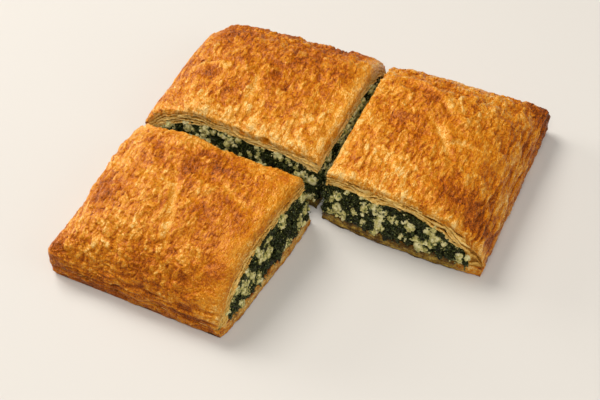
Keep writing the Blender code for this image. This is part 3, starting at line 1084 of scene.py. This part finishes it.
def make_top_crust(name, quarter, material):
    """The top crust of one quarter, with its skin and its two opened edges."""
    marks = MARKS[name]
    bm = block(COARSE, COARSE, TOP_ROWS)
    refine(bm, lambda n: n.z > 0.9 or n.x > 0.9 or n.y > 0.9, REFINE)
    shares = keep_shares(bm, quarter)
    toast_and_shade = bm.verts.layers.float.new("toast_and_shade")
    crumb = bm.verts.layers.float.new("crumb")
    for vert in bm.verts:
        a, b, layer = vert[shares]
        low, high = crust_span(quarter, marks, a, b)
        vert.co = quarter.plan(a, b, low + (high - low) * layer)
    bm.normal_update()
    moves = []
    for vert in bm.verts:
        a, b, layer = vert[shares]
        move = Vector((0.0, 0.0, 0.0))
        if layer > AT_CUT or min(a, b) < AT_SIDE or max(a, b) > AT_CUT:
            move, vert[toast_and_shade] = top_skin(quarter, marks, vert, a, b, layer)
            if min(a, b) < SEAM_SHARE:
                groove = seam_groove(quarter, a, b, vert.co.z)
                # Painted shade: the seam's groove is painted darker.
                vert[toast_and_shade] -= SEAM_SHADE * groove / SEAM_DEPTH
                move += Vector((vert.normal.x, vert.normal.y, 0.0)) * groove
        for side, outward, along in quarter.cuts_at(a, b):
            pushed, deep = cut_edge(quarter, marks, along, vert.co.z, layer)
            skinned = skin_on_cut(quarter, marks, side, along, layer)
            move += outward * pushed * (1.0 - 0.6 * skinned)
            vert[crumb] = max(vert[crumb], 1.0 - skinned)
            vert[toast_and_shade] = vert[toast_and_shade] * skinned + deep * (1.0 - skinned)
        moves.append(move)
    push(bm, moves)
    return finish_piece(name + "_baked_top", bm, material, (name + "_top_crust",))


for name, quarter in quarters.items():
    make_top_crust(name, quarter, pastry)

# %% [markdown]
# ## Bottom crust
#
# Under the weight of the filling the bottom crust stays flat and firm. Its edge shows on
# all four sides. On the outer sides it carries on the level lines of the top crust. At the
# cuts it is a soft band, dark where the filling soaked it, and golden and dry toward the
# outer sides. Its foot is painted dark, partly browning and partly painted contact shadow,
# and it is painted darker just under the filling and between its sheets as painted shade.
# It is made as the top crust is, from a block that is cut again only at its edges, because
# its top and underside never show.

# %% Edges of the bottom crust
BASE_SHEETS = 3
BASE_INSET = 0.5 * MM
BASE_BUBBLE = 6.0 * MM
BUBBLE_HEIGHT = 0.5 * MM
FOOT_SHARE = 0.16                    # share of the thickness that counts as the foot
FOOT_DRAWN_IN = 0.4 * MM
FOOT_CALM = 4.0 * MM                 # below this height the tin kept the outer sides smoother
UNDERCUT = 0.1 * MM                  # how far the foot of an outer side is rounded in
UNDERCUT_HEIGHT = 2.5 * MM
BROWNEST_BASE = 0.78
# How wet each cut's edge of the bottom crust is from the juice of the filling. Where it is
# high, the darkness also stands for painted shade under the overhanging filling.
SOAKED = {"front_left": (0.35, 0.9), "back_left": (1.0, 0.9), "back_right": (0.9, 0.9)}


def base_cut(quarter, along, height, share):
    """How far the cut of the bottom crust stands out, and how toasted it is painted, painted shade
    included.
    """
    seed = quarter.seed * 7.7
    bend = 0.5 * noise_at(along / (12.0 * MM), share * 1.2, seed)
    level = share * BASE_SHEETS + bend
    across = abs(level - math.floor(level) - 0.5) * 2.0
    lumpy = noise_at(along / (3.2 * MM), height / (2.4 * MM), seed)
    rough = noise_at(along / (0.9 * MM), height / (0.7 * MM), seed)
    slow = noise_at(along / (8.0 * MM), share, seed * 2)
    out = 0.6 * MM * slow + 0.5 * MM * lumpy + 0.2 * MM * rough - 0.35 * MM * across ** 4 - BASE_INSET
    # Painted shade: darker in the grooves between sheets, just under the filling and at the foot, where
    # it is also painted contact shadow with some browning.
    toasted = 0.48 + 0.2 * across ** 3 + 0.5 * lumpy + 0.3 * rough
    toasted += 0.5 * smooth_step(0.3, 0.02, share) + 0.3 * smooth_step(0.6, 1.0, share)
    return out, toasted + 0.2 * near_end(along)


def base_side(quarter, marks, vert, a, b, foot):
    """How far an outer side of the bottom crust stands out, and how toasted it is painted, with painted
    light in it.
    """
    side_light_and_brown = by_side(quarter, marks["side_light_and_brown"], a, b)
    rise, brown = skin(quarter, marks, vert.co, 1.0, (1.0, 1.0), side_light_and_brown)
    bubble = domes(vert.co, BASE_BUBBLE) - 0.5
    under = max(1.0 - vert.co.z / UNDERCUT_HEIGHT, 0.0)
    under = UNDERCUT * (1.0 - math.sqrt(1.0 - under ** 2))
    groove = seam_groove(quarter, a, b, vert.co.z)
    rise *= 0.3 + 0.7 * smooth_step(0.0, FOOT_CALM, vert.co.z)
    out = rise + BUBBLE_HEIGHT * bubble + groove - under
    # Painted light: darker in the seam's groove and at the foot as painted shade, paler on the tops of
    # the bubbles as a painted highlight.
    return out, min(brown + 0.1 * foot - SEAM_SHADE * groove / SEAM_DEPTH - 0.25 * bubble, BROWNEST_BASE)


# %% Make the bottom crusts
BASE_ROWS = 4
HIDDEN_TOAST = 0.7


def make_bottom_crust(name, quarter, material):
    """The bottom crust of one quarter, with its two outer sides and its two cuts."""
    marks = MARKS[name]
    bm = block(COARSE, COARSE, BASE_ROWS)
    refine(bm, lambda n: abs(n.z) < 0.1, REFINE)
    shares = keep_shares(bm, quarter)
    toast_and_shade = bm.verts.layers.float.new("toast_and_shade")
    soaked = bm.verts.layers.float.new("soaked")
    for vert in bm.verts:
        a, b, layer = vert[shares]
        thick = BOTTOM_THICK + seam_shift(quarter, a, b)
        vert.co = quarter.plan(a, b, thick * layer)
        vert[toast_and_shade] = HIDDEN_TOAST
    bm.normal_update()
    moves = []
    for vert in bm.verts:
        a, b, layer = vert[shares]
        move = Vector((0.0, 0.0, 0.0))
        foot = smooth_step(FOOT_SHARE, 0.0, layer)
        if min(a, b) < AT_SIDE:
            out, vert[toast_and_shade] = base_side(quarter, marks, vert, a, b, foot)
            move += Vector((vert.normal.x, vert.normal.y, 0.0)).normalized() * out
        for side, outward, along in quarter.cuts_at(a, b):
            out, toasted = base_cut(quarter, along, vert.co.z, layer)
            move += outward * (out - FOOT_DRAWN_IN * foot)
            wet = SOAKED[name][side] * smooth_step(0.2 * BROWNED_END, BROWNED_END, along)
            vert[soaked] = wet
            vert[toast_and_shade] = toasted - 0.5 * (1.0 - wet)
        moves.append(move)
    push(bm, moves)
    return finish_piece(name + "_baked_base", bm, material, (name + "_bottom_crust",))


for name, quarter in quarters.items():
    make_bottom_crust(name, quarter, pastry)

# %% [markdown]
# ## Greens under everything
#
# The filling is one packed mass. Its core is a block with two crumpled faces, nearly
# black, so that whatever small gap is left between the crumbs looks into wet greens and
# never through the pie. It could be left out where crumbs cover it, but then each of them
# would have to touch its neighbours.

# %% Make the cores of the filling
CORE_PARTS = 26
CORE_ROWS = 7
CORE_REFINE = 7
CORE_CLEARANCE = 0.45 * MM           # under the top crust
CORE_INSET = 0.8 * MM                # behind the cut, so that the crumbs stand before it
LUMP_SIZE = 6.0 * MM
FOLD_SIZE = 2.0 * MM
WRINKLE_SIZE = 0.9 * MM


def crumple(place, seed):
    """How far the greens stand out, in metres, and a painted light: near 1 on a crest as a highlight,
    near 0 in a fold as shade.
    """
    shifted = place + Vector((0.0, 0.0, seed * 0.1))
    drift = noise.noise_vector(shifted / (3.0 * MM)) * 1.0 * MM
    lump = lumps(shifted + drift, LUMP_SIZE)
    fold = lumps(shifted + drift * 1.5, FOLD_SIZE)
    fine = wrinkles(shifted, WRINKLE_SIZE)
    out = 0.9 * MM * (lump - 0.5) + 0.7 * MM * (fold - 0.5) + 0.2 * MM * fine
    # Painted light: the crests of folds and wrinkles are paler, the folds darker.
    return out, 0.5 * fold + 0.5 * fine


def make_core(name, quarter, material):
    """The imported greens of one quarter."""
    bm = block(CORE_PARTS, CORE_PARTS, CORE_ROWS)
    refine(bm, lambda n: n.x > 0.9 or n.y > 0.9, CORE_REFINE)
    leaf = bm.verts.layers.float.new("leaf")
    out_a, out_b = quarter.outward
    first_a = (SEAL_WIDTH + MM) / quarter.length_a
    first_b = (SEAL_WIDTH + MM) / quarter.length_b
    for vert in bm.verts:
        a = first_a + (1 - first_a) * vert.co.x
        b = first_b + (1 - first_b) * vert.co.y
        layer = vert.co.z
        on_a = vert.co.x > AT_CUT
        on_b = vert.co.y > AT_CUT
        ceiling = max(quarter.under(a, b) - CORE_CLEARANCE, FILLING_FLOOR + 0.5 * MM)
        place = quarter.plan(a, b, FILLING_FLOOR + (ceiling - FILLING_FLOOR) * layer)
        if on_a or on_b:
            out, vert[leaf] = crumple(place, quarter.seed)
            place += (out_a * on_a + out_b * on_b) * (out - CORE_INSET)
        vert.co = place
    return finish_piece(name + "_packed_greens", bm, material, (name + "_filling",))


for name, quarter in quarters.items():
    make_core(name, quarter, greens_finish)

# %% [markdown]
# ## Torn sheets
#
# Some sheets came loose at a cut edge and hang over the ones below like scales, so thin
# that light catches their lips. Each is a grid bent along the cut, held at its upper edge,
# narrowing to nothing at both ends, with a ragged lip, and given a thickness. They follow
# the same bend as the relief behind them, where a gap is ready for their shadow. A relief
# can't overhang, which is why these are pieces of their own.

# %% Helpers for small pieces that are joined
def pour(piece, numbers, joined):
    """Adds a small mesh to the joined one, with the lists of numbers on its points."""
    for layer_name, values in numbers.items():
        layer = piece.verts.layers.float.new(layer_name)
        for vert, value in zip(piece.verts, values):
            vert[layer] = value
    scratch = bpy.data.meshes.new("scratch")
    piece.to_mesh(scratch)
    piece.free()
    joined.from_mesh(scratch)
    bpy.data.meshes.remove(scratch)


# %% Make the torn sheets
SHEET_THICK = 0.30 * MM
SHEET_PART = 0.6 * MM                # length of one part of a sheet
SHEET_ROWS = 5
SHEET_LEVELS = 3
TUCK = 1.0 * MM                      # how far a sheet starts inside the crust
HELD_SHARES = (0.10, 0.86)           # a sheet is held between these shares of the crust
CALM_SHEETS = 0.7                    # how many sheets a smooth cut lacks


def add_sheet(joined, quarter, marks, side, level, sizes, dice):
    """One torn sheet along a cut: held at its upper edge, hanging and standing off below."""
    start, length, reach, hang = sizes
    out = quarter.outward[side]
    key = dice.uniform(0.0, 99.0)
    parts = max(int(length / SHEET_PART), 4)
    piece = bmesh.new()
    bmesh.ops.create_grid(piece, x_segments=parts, y_segments=SHEET_ROWS, size=0.5)
    toast_and_shade = piece.verts.layers.float.new("toast_and_shade")
    crumb = piece.verts.layers.float.new("crumb")
    tone = dice.uniform(0.02, 0.24)
    for vert in piece.verts:
        along = start + (vert.co.x + 0.5) * length
        tip = vert.co.y + 0.5
        a, b = quarter.cut_share(side, along)
        ends = math.sin(math.pi * (vert.co.x + 0.5)) ** 0.5
        share = (level + 0.9 - sheet_bend(quarter, along, level / SHEETS)) / SHEETS
        share = min(max(share, HELD_SHARES[0]), HELD_SHARES[1])
        low, high = crust_span(quarter, marks, a, b)
        torn = 0.6 * noise_at(along / (1.3 * MM), key, 0.0)
        torn += 0.9 * noise_at(along / (4.5 * MM), key, 5.0)
        far = (reach * (1.0 + 0.5 * torn) + TUCK) * ends * tip ** 0.7 - TUCK
        down = hang * (1.0 + torn) * ends * tip ** 1.3
        ripple = 0.25 * MM * noise_at(along / (2.5 * MM), tip * 2.0, key)
        vert.co = quarter.plan(a, b, low + (high - low) * share - down) + out * (far + ripple)
        # Paler at the lip as a painted highlight, darker toward the root where it tucks under the crust
        # as painted shade, with a tone of its own.
        vert[toast_and_shade] = tone + 0.5 * (1.0 - tip) ** 1.5 + 0.4 * noise.noise(vert.co / (1.2 * MM))
        vert[crumb] = 1.0
    bmesh.ops.solidify(piece, geom=piece.faces[:], thickness=SHEET_THICK)
    bmesh.ops.recalc_face_normals(piece, faces=piece.faces[:])
    pour(piece, {}, joined)


def make_sheets(material):
    """All torn sheets, in rows along the six cuts."""
    joined = bmesh.new()
    for name, quarter in quarters.items():
        for side in (0, 1):
            dice = random.Random(quarter.seed * 20 + side)
            whole = quarter.cut_length(side)
            rough = 1.0 - CALM_SHEETS * MARKS[name]["calm"][side]
            for level in range(SHEET_LEVELS):
                start = dice.uniform(2.0, 16.0) * MM
                while start < whole - 8.0 * MM:
                    length = min(dice.uniform(7.0, 20.0) * MM, whole - start - 1.0 * MM)
                    reach = dice.uniform(0.2, 0.9) * MM * rough
                    hang = dice.uniform(0.3, 0.8) * MM if level else dice.uniform(0.8, 2.0) * MM
                    sizes = (start, length, reach, hang)
                    add_sheet(joined, quarter, MARKS[name], side, level, sizes, dice)
                    start += length * dice.uniform(1.2, 2.6) / rough
    return finish_piece("torn_sheets", joined, material)


make_sheets(pastry)

# %% [markdown]
# ## Lumps and shreds
#
# White cheese was crumbled by hand, so its crumbs go from specks to lumps the size of a
# pea. Each is an icosphere whose points are moved by noise and which is then turned and
# squeezed. Clumps of greens are made alike, only rougher. A few strips of leaf are thin
# curled grids with a thickness. Scattered copies of one crumb would be lighter, but the eye
# finds what repeats, so each is made anew.

# %% Helpers for lumps and shreds
JUICE_AND_SHADE = 0.80                         # how much darker a crumb gets away from the light
LARGE_LUMP = 2.1 * MM                # lumps with a larger radius are cut finest
SMALL_LUMP = 0.6 * MM                # and smaller ones least
CURL_LENGTH = 3.0 * MM
SHRED_THICK = 0.18 * MM


def turned(dice):
    """A random turn."""
    return Euler([dice.uniform(0, math.tau) for _ in range(3)]).to_matrix()


def add_lump(joined, layer_name, place, radius, outward, look, dice):
    """One crumb, squeezed toward the cut. Below and behind, its number is lowered, painted shade as well
    as juice stain.
    """
    flat, rough, size, detail, tone = look
    piece = bmesh.new()
    bmesh.ops.create_icosphere(piece, subdivisions=detail, radius=1.0)
    turn = turned(dice)
    shift = Vector((dice.uniform(0, 90), dice.uniform(0, 90), dice.uniform(0, 90)))
    stretch = Vector((dice.uniform(0.8, 1.3), dice.uniform(0.8, 1.25), dice.uniform(0.7, 1.0)))
    tones = []
    for vert in piece.verts:
        point = vert.co
        big = noise.noise(point * 0.9 + shift)
        small = noise.noise(point * (radius / size) + shift * 2)
        grown = 1.0 + 0.5 * big + rough * small
        point = turn @ (point * stretch) * grown
        # Lower below and behind the crumb: painted shade, and juice stain as well.
        stain_and_shade = min(0.5 * point.z + 0.6 * point.dot(outward) - 0.45, 0.0)
        point = (point - outward * point.dot(outward) * flat) * radius
        vert.co = place + point
        tones.append(tone + 0.35 * small + JUICE_AND_SHADE * stain_and_shade)
    pour(piece, {layer_name: tones}, joined)


def detail_for(radius):
    """Subdivisions of an icosphere: larger crumbs are rounder."""
    if radius > LARGE_LUMP:
        return 3
    return 2 if radius > SMALL_LUMP else 1


def add_shred(joined, place, outward, dice):
    """A thin curled strip of leaf."""
    length = dice.uniform(2.2, 4.6) * MM
    width = dice.uniform(0.5, 1.1) * MM
    curl = dice.uniform(-1.0, 1.0) / CURL_LENGTH
    twist = dice.uniform(-0.9, 0.9) / CURL_LENGTH
    turn = turned(dice)
    piece = bmesh.new()
    bmesh.ops.create_grid(piece, x_segments=7, y_segments=2, size=1.0)
    for vert in piece.verts:
        along = vert.co.x * length / 2
        across = vert.co.y * width / 2 * (1.0 - 0.5 * vert.co.x ** 2)
        roll = along * twist
        ripple = 0.16 * MM * math.sin(along / (0.7 * MM) + length / MM)
        up = across * math.sin(roll) + curl * along * along / 2 + ripple
        point = Vector((along, across * math.cos(roll), up))
        vert.co = place + outward * 0.2 * MM + turn @ point
    bmesh.ops.solidify(piece, geom=piece.faces[:], thickness=SHRED_THICK)
    tone = dice.uniform(0.3, 1.0)
    pour(piece, {"leaf": [tone] * len(piece.verts)}, joined)


# %% [markdown]
# ## Cheese and greens on the cuts
#
# On a cut face, cheese and greens lie in loose groups, as they were stirred. Each face is
# filled with places in rough columns, and a slow noise says which of them are cheese.
# Where the knife smeared the filling, the lumps are flatter, larger and darker. All crumbs
# of one kind are joined in one mesh, which is far lighter than hundreds of objects.

# %% Places on a cut face of the filling
FACE_SPACING = 3.3 * MM
FACE_STRAY = 0.42                    # how far a place strays from its row, in spacings


def face_sites(quarter, side, dice):
    """Places spread over a cut face: position along it, height, and its room."""
    floor = FILLING_FLOOR
    length = quarter.cut_length(side)
    for column in range(int((length - SEAL_WIDTH) / FACE_SPACING)):
        along = SEAL_WIDTH + (column + 0.5) * FACE_SPACING
        share = along / length
        ceiling = quarter.under(share, 1.0) if side else quarter.under(1.0, share)
        rows = int((ceiling - floor) / FACE_SPACING + 0.5)
        for row in range(rows):
            stray_along = dice.uniform(-FACE_STRAY, FACE_STRAY) * FACE_SPACING
            stray_up = dice.uniform(-FACE_STRAY, FACE_STRAY) * FACE_SPACING
            step = (ceiling - floor) / rows
            height = floor + (row + 0.5) * step + stray_up
            yield along + stray_along, height, floor, ceiling


# %% Crumbs, clumps and specks
# How the cheese lies on the two cuts of each quarter: its share of the places, how far
# the knife smeared it flat, and how large its groups are in millimetres.
CHEESE = {
    "front_left": ((0.34, 0.35, 7.0), (0.46, 0.15, 6.5)),
    "back_left": ((0.52, 0.10, 6.0), (0.56, 0.15, 6.5)),
    "back_right": ((0.46, 0.15, 6.5), (0.48, 0.10, 6.0)),
}
SPILL = 3.0 * MM                     # how far bits hang over the edge of the bottom crust
SPECKS = 320                         # fine bits on a cut that isn't smeared
SMEARED_SPECKS = 0.8                 # the share of them that a smeared cut lacks
ROOM_IN_RADII = 2.2                  # the free height is at least this many of a lump's radii
GRAIN_EVERY = 0.38 * MM              # one clinging grain for each of these in a crumb's radius


def add_cheese(joined, quarter, side, along, height, limits, smeared, dice):
    """A crumb of cheese with the grains that cling to it."""
    floor, ceiling = limits
    out = quarter.outward[side]
    radius = (0.9 + 1.4 * dice.random() ** 1.3) * MM * (1.0 + 0.6 * smeared)
    radius = min(radius, (ceiling - floor) / ROOM_IN_RADII)
    height = min(max(height, floor + radius * 0.3), ceiling - radius * 0.75)
    place = quarter.cut_place(side, along, height)
    tone = dice.uniform(0.50, 0.80) - 0.5 * smeared
    look = (smeared, 0.35, 0.8 * MM, detail_for(radius), tone)
    place -= out * radius * (1.0 - smeared) * 0.45
    add_lump(joined, "tone", place, radius, out, look, dice)
    for _ in range(int(radius * (1.0 - smeared) / GRAIN_EVERY)):
        grain = dice.uniform(0.4, 1.25) * MM
        shift = turned(dice) @ Vector((radius * dice.uniform(0.9, 1.5), 0.0, 0.0))
        shift += out * (dice.uniform(0.0, 0.6) * radius - shift.dot(out))
        look = (smeared, 0.3, 0.6 * MM, detail_for(grain), tone + dice.uniform(-0.12, 0.12))
        add_lump(joined, "tone", place + shift - out * 0.5 * grain, grain, out, look, dice)


def add_greens(clumps, shreds, quarter, side, along, height, limits, smeared, dice):
    """A tight clump of greens, now and then with a strip of leaf on it."""
    floor, ceiling = limits
    out = quarter.outward[side]
    radius = dice.uniform(1.2, 2.4) * MM * (1.0 + 0.5 * smeared)
    radius = min(radius, (ceiling - floor) / ROOM_IN_RADII)
    height = min(max(height, floor + radius * 0.4), ceiling - radius * 0.75)
    place = quarter.cut_place(side, along, height)
    look = (0.1 + 0.4 * smeared, 0.7, 0.7 * MM, 3 if radius > 2.0 * MM else 2, 0.4)
    add_lump(clumps, "leaf", place - out * radius * 0.6, radius, out, look, dice)
    if dice.random() < 0.6 * (1.0 - smeared):
        shift = turned(dice) @ Vector((radius * 0.7, 0.0, 0.0))
        add_shred(shreds, place + shift - out * shift.dot(out), out, dice)


def add_specks(joined, quarter, side, count, dice):
    """Fine bits of leaf and cheese all over a face, a few of them on the bottom crust."""
    out = quarter.outward[side]
    for _ in range(count):
        along = dice.uniform(SEAL_WIDTH, quarter.cut_length(side))
        ceiling = quarter.under(*quarter.cut_share(side, along))
        floor = BOTTOM_THICK - SPILL * dice.random() ** 2
        height = floor + (ceiling - floor) * dice.random()
        radius = dice.uniform(0.22, 0.5) * MM
        place = quarter.cut_place(side, along, height) + out * dice.uniform(0.0, 0.7) * MM
        look = (0.2, 0.3, 0.6 * MM, 1, dice.uniform(-0.45, 0.4))
        add_lump(joined, "tone", place, radius, out, look, dice)


# %% Fill the cut faces
def fill_faces(cheese, clumps, shreds, specks):
    """Spreads crumbs, clumps and shreds over all six cut faces."""
    for name, quarter in quarters.items():
        for side in (0, 1):
            dice = random.Random(quarter.seed * 10 + side)
            share, smeared, group_size = CHEESE[name][side]
            for along, height, floor, ceiling in face_sites(quarter, side, dice):
                where = Vector((along, height, 0.0)) / (group_size * MM)
                group = noise.noise(where + Vector((0.0, 0.0, quarter.seed * 9.1 + side)))
                limits = (floor - SPILL * dice.random() * (1.0 + smeared), ceiling)
                if 0.5 + 1.1 * group + dice.uniform(-0.2, 0.2) > 1.0 - share:
                    add_cheese(cheese, quarter, side, along, height, limits, smeared, dice)
                else:
                    add_greens(clumps, shreds, quarter, side, along, height, limits, smeared, dice)
            count = int(SPECKS * (1.0 - SMEARED_SPECKS * smeared))
            add_specks(specks, quarter, side, count, dice)


cheese_mesh = bmesh.new()
greens_mesh = bmesh.new()
shreds_mesh = bmesh.new()
specks_mesh = bmesh.new()
fill_faces(cheese_mesh, greens_mesh, shreds_mesh, specks_mesh)
finish_piece("cheese_crumbs", cheese_mesh, cheese_finish)
finish_piece("greens_clumps", greens_mesh, greens_finish)
finish_piece("leaf_shreds", shreds_mesh, greens_finish)
finish_piece("fine_bits", specks_mesh, cheese_finish)

# %% [markdown]
# ## Folded corners
#
# Where two outer sides meet, the sheets were pinched together. Their tips lift, and as
# the thinnest part of the pie they are nearly burnt. The crust's own mesh could be pulled
# into tips, but it would stretch. So each tip is a flattened lump of pastry, pushed into
# the corner so that only its rim stands clear.

# %% Make the folded corners
UP = Vector((0.0, 0.0, 1.0))
# How far in from both sides, height and radius in millimetres, then flatness and browning.
CORNER_TIPS = {
    "front_left": (
        (4.6, 11.0, 2.8, 0.55, 0.80),
        (4.0, 5.0, 3.0, 0.60, 0.92),
        (6.5, 3.0, 2.8, 0.50, 0.90),
    ),
    "back_left": ((7.0, 6.0, 3.0, 0.6, 0.6),),
    "back_right": ((3.8, 12.5, 2.7, 0.2, 1.1), (3.0, 7.5, 2.8, 0.5, 0.90)),
}


def make_corners(material):
    """The pinched tips at the outer corners."""
    joined = bmesh.new()
    for name, tips in CORNER_TIPS.items():
        quarter = quarters[name]
        dice = random.Random(quarter.seed)
        for inward, height, radius, flat, toasted in tips:
            a, b = inward * MM / quarter.length_a, inward * MM / quarter.length_b
            look = (flat, 0.3, 1.6 * MM, 4, toasted)
            add_lump(joined, "toast_and_shade", quarter.plan(a, b, height * MM), radius * MM, UP, look, dice)
    return finish_piece("corner_folds", joined, material)


make_corners(pastry)

# %% [markdown]
# ## Stray crumbs
#
# A knife leaves a few burnt crumbs of crust behind, and they end up by the gaps. They are
# the same lumps once more, small and dark, and sunk a little into the skin so that none
# floats.

# %% Make the stray crumbs
# The quarter, the shares along its sides, and the radius in millimetres.
STRAY_CRUMBS = (
    ("back_right", 1.000, 0.020, 0.70), ("back_right", 1.000, 0.055, 0.60),
    ("back_left", 1.000, 0.010, 0.80), ("back_left", 1.000, 0.990, 0.45),
    ("back_left", 0.980, 0.045, 0.45), ("back_right", 1.000, 0.990, 0.40),
)
STRAY_SEED = 7


def make_stray_crumbs(material):
    """A few burnt crumbs on the top, at the edges by the gaps."""
    joined = bmesh.new()
    dice = random.Random(STRAY_SEED)
    for name, a, b, radius in STRAY_CRUMBS:
        quarter = quarters[name]
        _, high = crust_span(quarter, MARKS[name], a, b)
        place = quarter.plan(a, b, high + 0.5 * radius * MM)
        look = (0.1, 0.3, 0.6 * MM, 2, 0.95)
        add_lump(joined, "toast_and_shade", place, radius * MM, UP, look, dice)
    return finish_piece("stray_crumbs", joined, material)


make_stray_crumbs(pastry)

# %% [markdown]
# ## Floor
#
# The pie rests on a plain pale floor, so large that its edge stays out of the picture. One
# big square is enough, because its light and shade come from the pie and the lamps.

# %% Make the floor
FLOOR_SIZE = 4.0
FLOOR_COLOUR = (0.62, 0.60, 0.57, 1.0)


def make_floor():
    bm = bmesh.new()
    bmesh.ops.create_grid(bm, x_segments=1, y_segments=1, size=FLOOR_SIZE / 2)
    mesh = bpy.data.meshes.new("floor")
    bm.to_mesh(mesh)
    bm.free()
    made = bpy.data.materials.new("pale_floor")
    made.use_nodes = True
    shader = made.node_tree.nodes["Principled BSDF"]
    shader.inputs["Base Color"].default_value = FLOOR_COLOUR
    shader.inputs["Roughness"].default_value = 0.9
    mesh.materials.append(made)
    floor = bpy.data.objects.new("floor", mesh)
    bpy.context.scene.collection.objects.link(floor)
    floor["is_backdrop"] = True
    print(f"floor: {FLOOR_SIZE} m a side")


make_floor()

# %% [markdown]
# ## Light
#
# A large soft light stands on the left and a little behind, so the crinkles cast short
# shadows to the right. A low window on the same side rakes over the outer sides. Weaker
# lights from the right and, high up, from the front open the shadows on the cuts, and the
# sky is nearly dark. A sky picture could do all of it, but then the lights couldn't be
# set one by one.

# %% Make the lights
def aim(looker, place, target, roll=0.0):
    """Puts a lamp or a camera at a place, looking at a target."""
    back = (place - target).normalized()
    right = UP.cross(back).normalized()
    up = back.cross(right)
    rolled_right = right * math.cos(roll) + up * math.sin(roll)
    rolled_up = up * math.cos(roll) - right * math.sin(roll)
    turn = Matrix((rolled_right, rolled_up, back)).transposed()
    looker.matrix_world = Matrix.Translation(place) @ turn.to_4x4()


def add_lamp(name, place, size, power, colour):
    """A square area light that looks at the pie."""
    light = bpy.data.lights.new(name, "AREA")
    light.shape = "SQUARE"
    light.size = size
    light.energy = power
    light.color = colour
    lamp = bpy.data.objects.new(name, light)
    bpy.context.scene.collection.objects.link(lamp)
    aim(lamp, place, Vector((0.0, 0.0, 0.0)))


# The name, place and size in metres, power in watts, and colour.
LAMPS = (
    ("key", (-0.98, 0.42, 1.38), 0.80, 24.3, (1.0, 0.96, 0.90)),
    ("low_window", (-1.40, 0.15, 0.42), 0.7, 11.0, (1.0, 0.94, 0.88)),
    ("right_fill", (1.0, 0.0, 0.60), 0.8, 2.4, (1.0, 0.97, 0.93)),
    ("front_fill", (0.30, -0.70, 1.30), 0.7, 11.5, (1.0, 0.96, 0.90)),
)
SKY_COLOUR = (1.0, 0.98, 0.95, 1.0)
SKY_STRENGTH = 0.17

for name, place, size, power, colour in LAMPS:
    add_lamp(name, Vector(place), size, power, colour)
    print(f"light {name}: {power} W")
world = bpy.data.worlds.new("studio")
world.use_nodes = True
sky = world.node_tree.nodes["Background"]
sky.inputs["Color"].default_value = SKY_COLOUR
sky.inputs["Strength"].default_value = SKY_STRENGTH
bpy.context.scene.world = world
bpy.context.scene.view_settings.view_transform = "Standard"

# %% [markdown]
# ## Camera
#
# The pie is looked down on from the side of the missing quarter, so both its top and the
# open cuts show. A long lens from further away keeps the far quarters as large as the near
# one. A wide lens close by would make the near corner swell.

# %% Make the camera
SENSOR = 36.0
LENS = 78.0
CAMERA_TURN = math.radians(26.0)     # round to the right from straight in front
CAMERA_LIFT = math.radians(50.0)
CAMERA_ROLL = math.radians(-0.6)
CAMERA_AWAY = 607.75 * MM
NEAR_CLIP = 0.01
FAR_CLIP = 20.0


def make_camera():
    data = bpy.data.cameras.new("camera")
    data.sensor_width = SENSOR
    data.lens = LENS
    data.clip_start = NEAR_CLIP
    data.clip_end = FAR_CLIP
    camera = bpy.data.objects.new("camera", data)
    bpy.context.scene.collection.objects.link(camera)
    level = math.cos(CAMERA_LIFT)
    back = Vector((math.sin(CAMERA_TURN) * level, -math.cos(CAMERA_TURN) * level, math.sin(CAMERA_LIFT)))
    aim(camera, FRAME_SHIFT + back * CAMERA_AWAY, FRAME_SHIFT, CAMERA_ROLL)
    bpy.context.scene.camera = camera
    print(f"camera: {LENS} mm lens, {CAMERA_AWAY / MM:.0f} mm away")


make_camera()

# %% [markdown]
# ## Size
#
# The finished pie has to fill the same box as its solids, so both boxes are printed side by
# side.

# %% Print both boxes
shown_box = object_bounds()
boxes = {
    "cad": [list(corner) for corner in CAD_BOX],
    "visual": [list(corner) for corner in shown_box],
}
for label, (low, high) in boxes.items():
    print(label, [round((h - l) / MM, 1) for l, h in zip(low, high)], "mm")
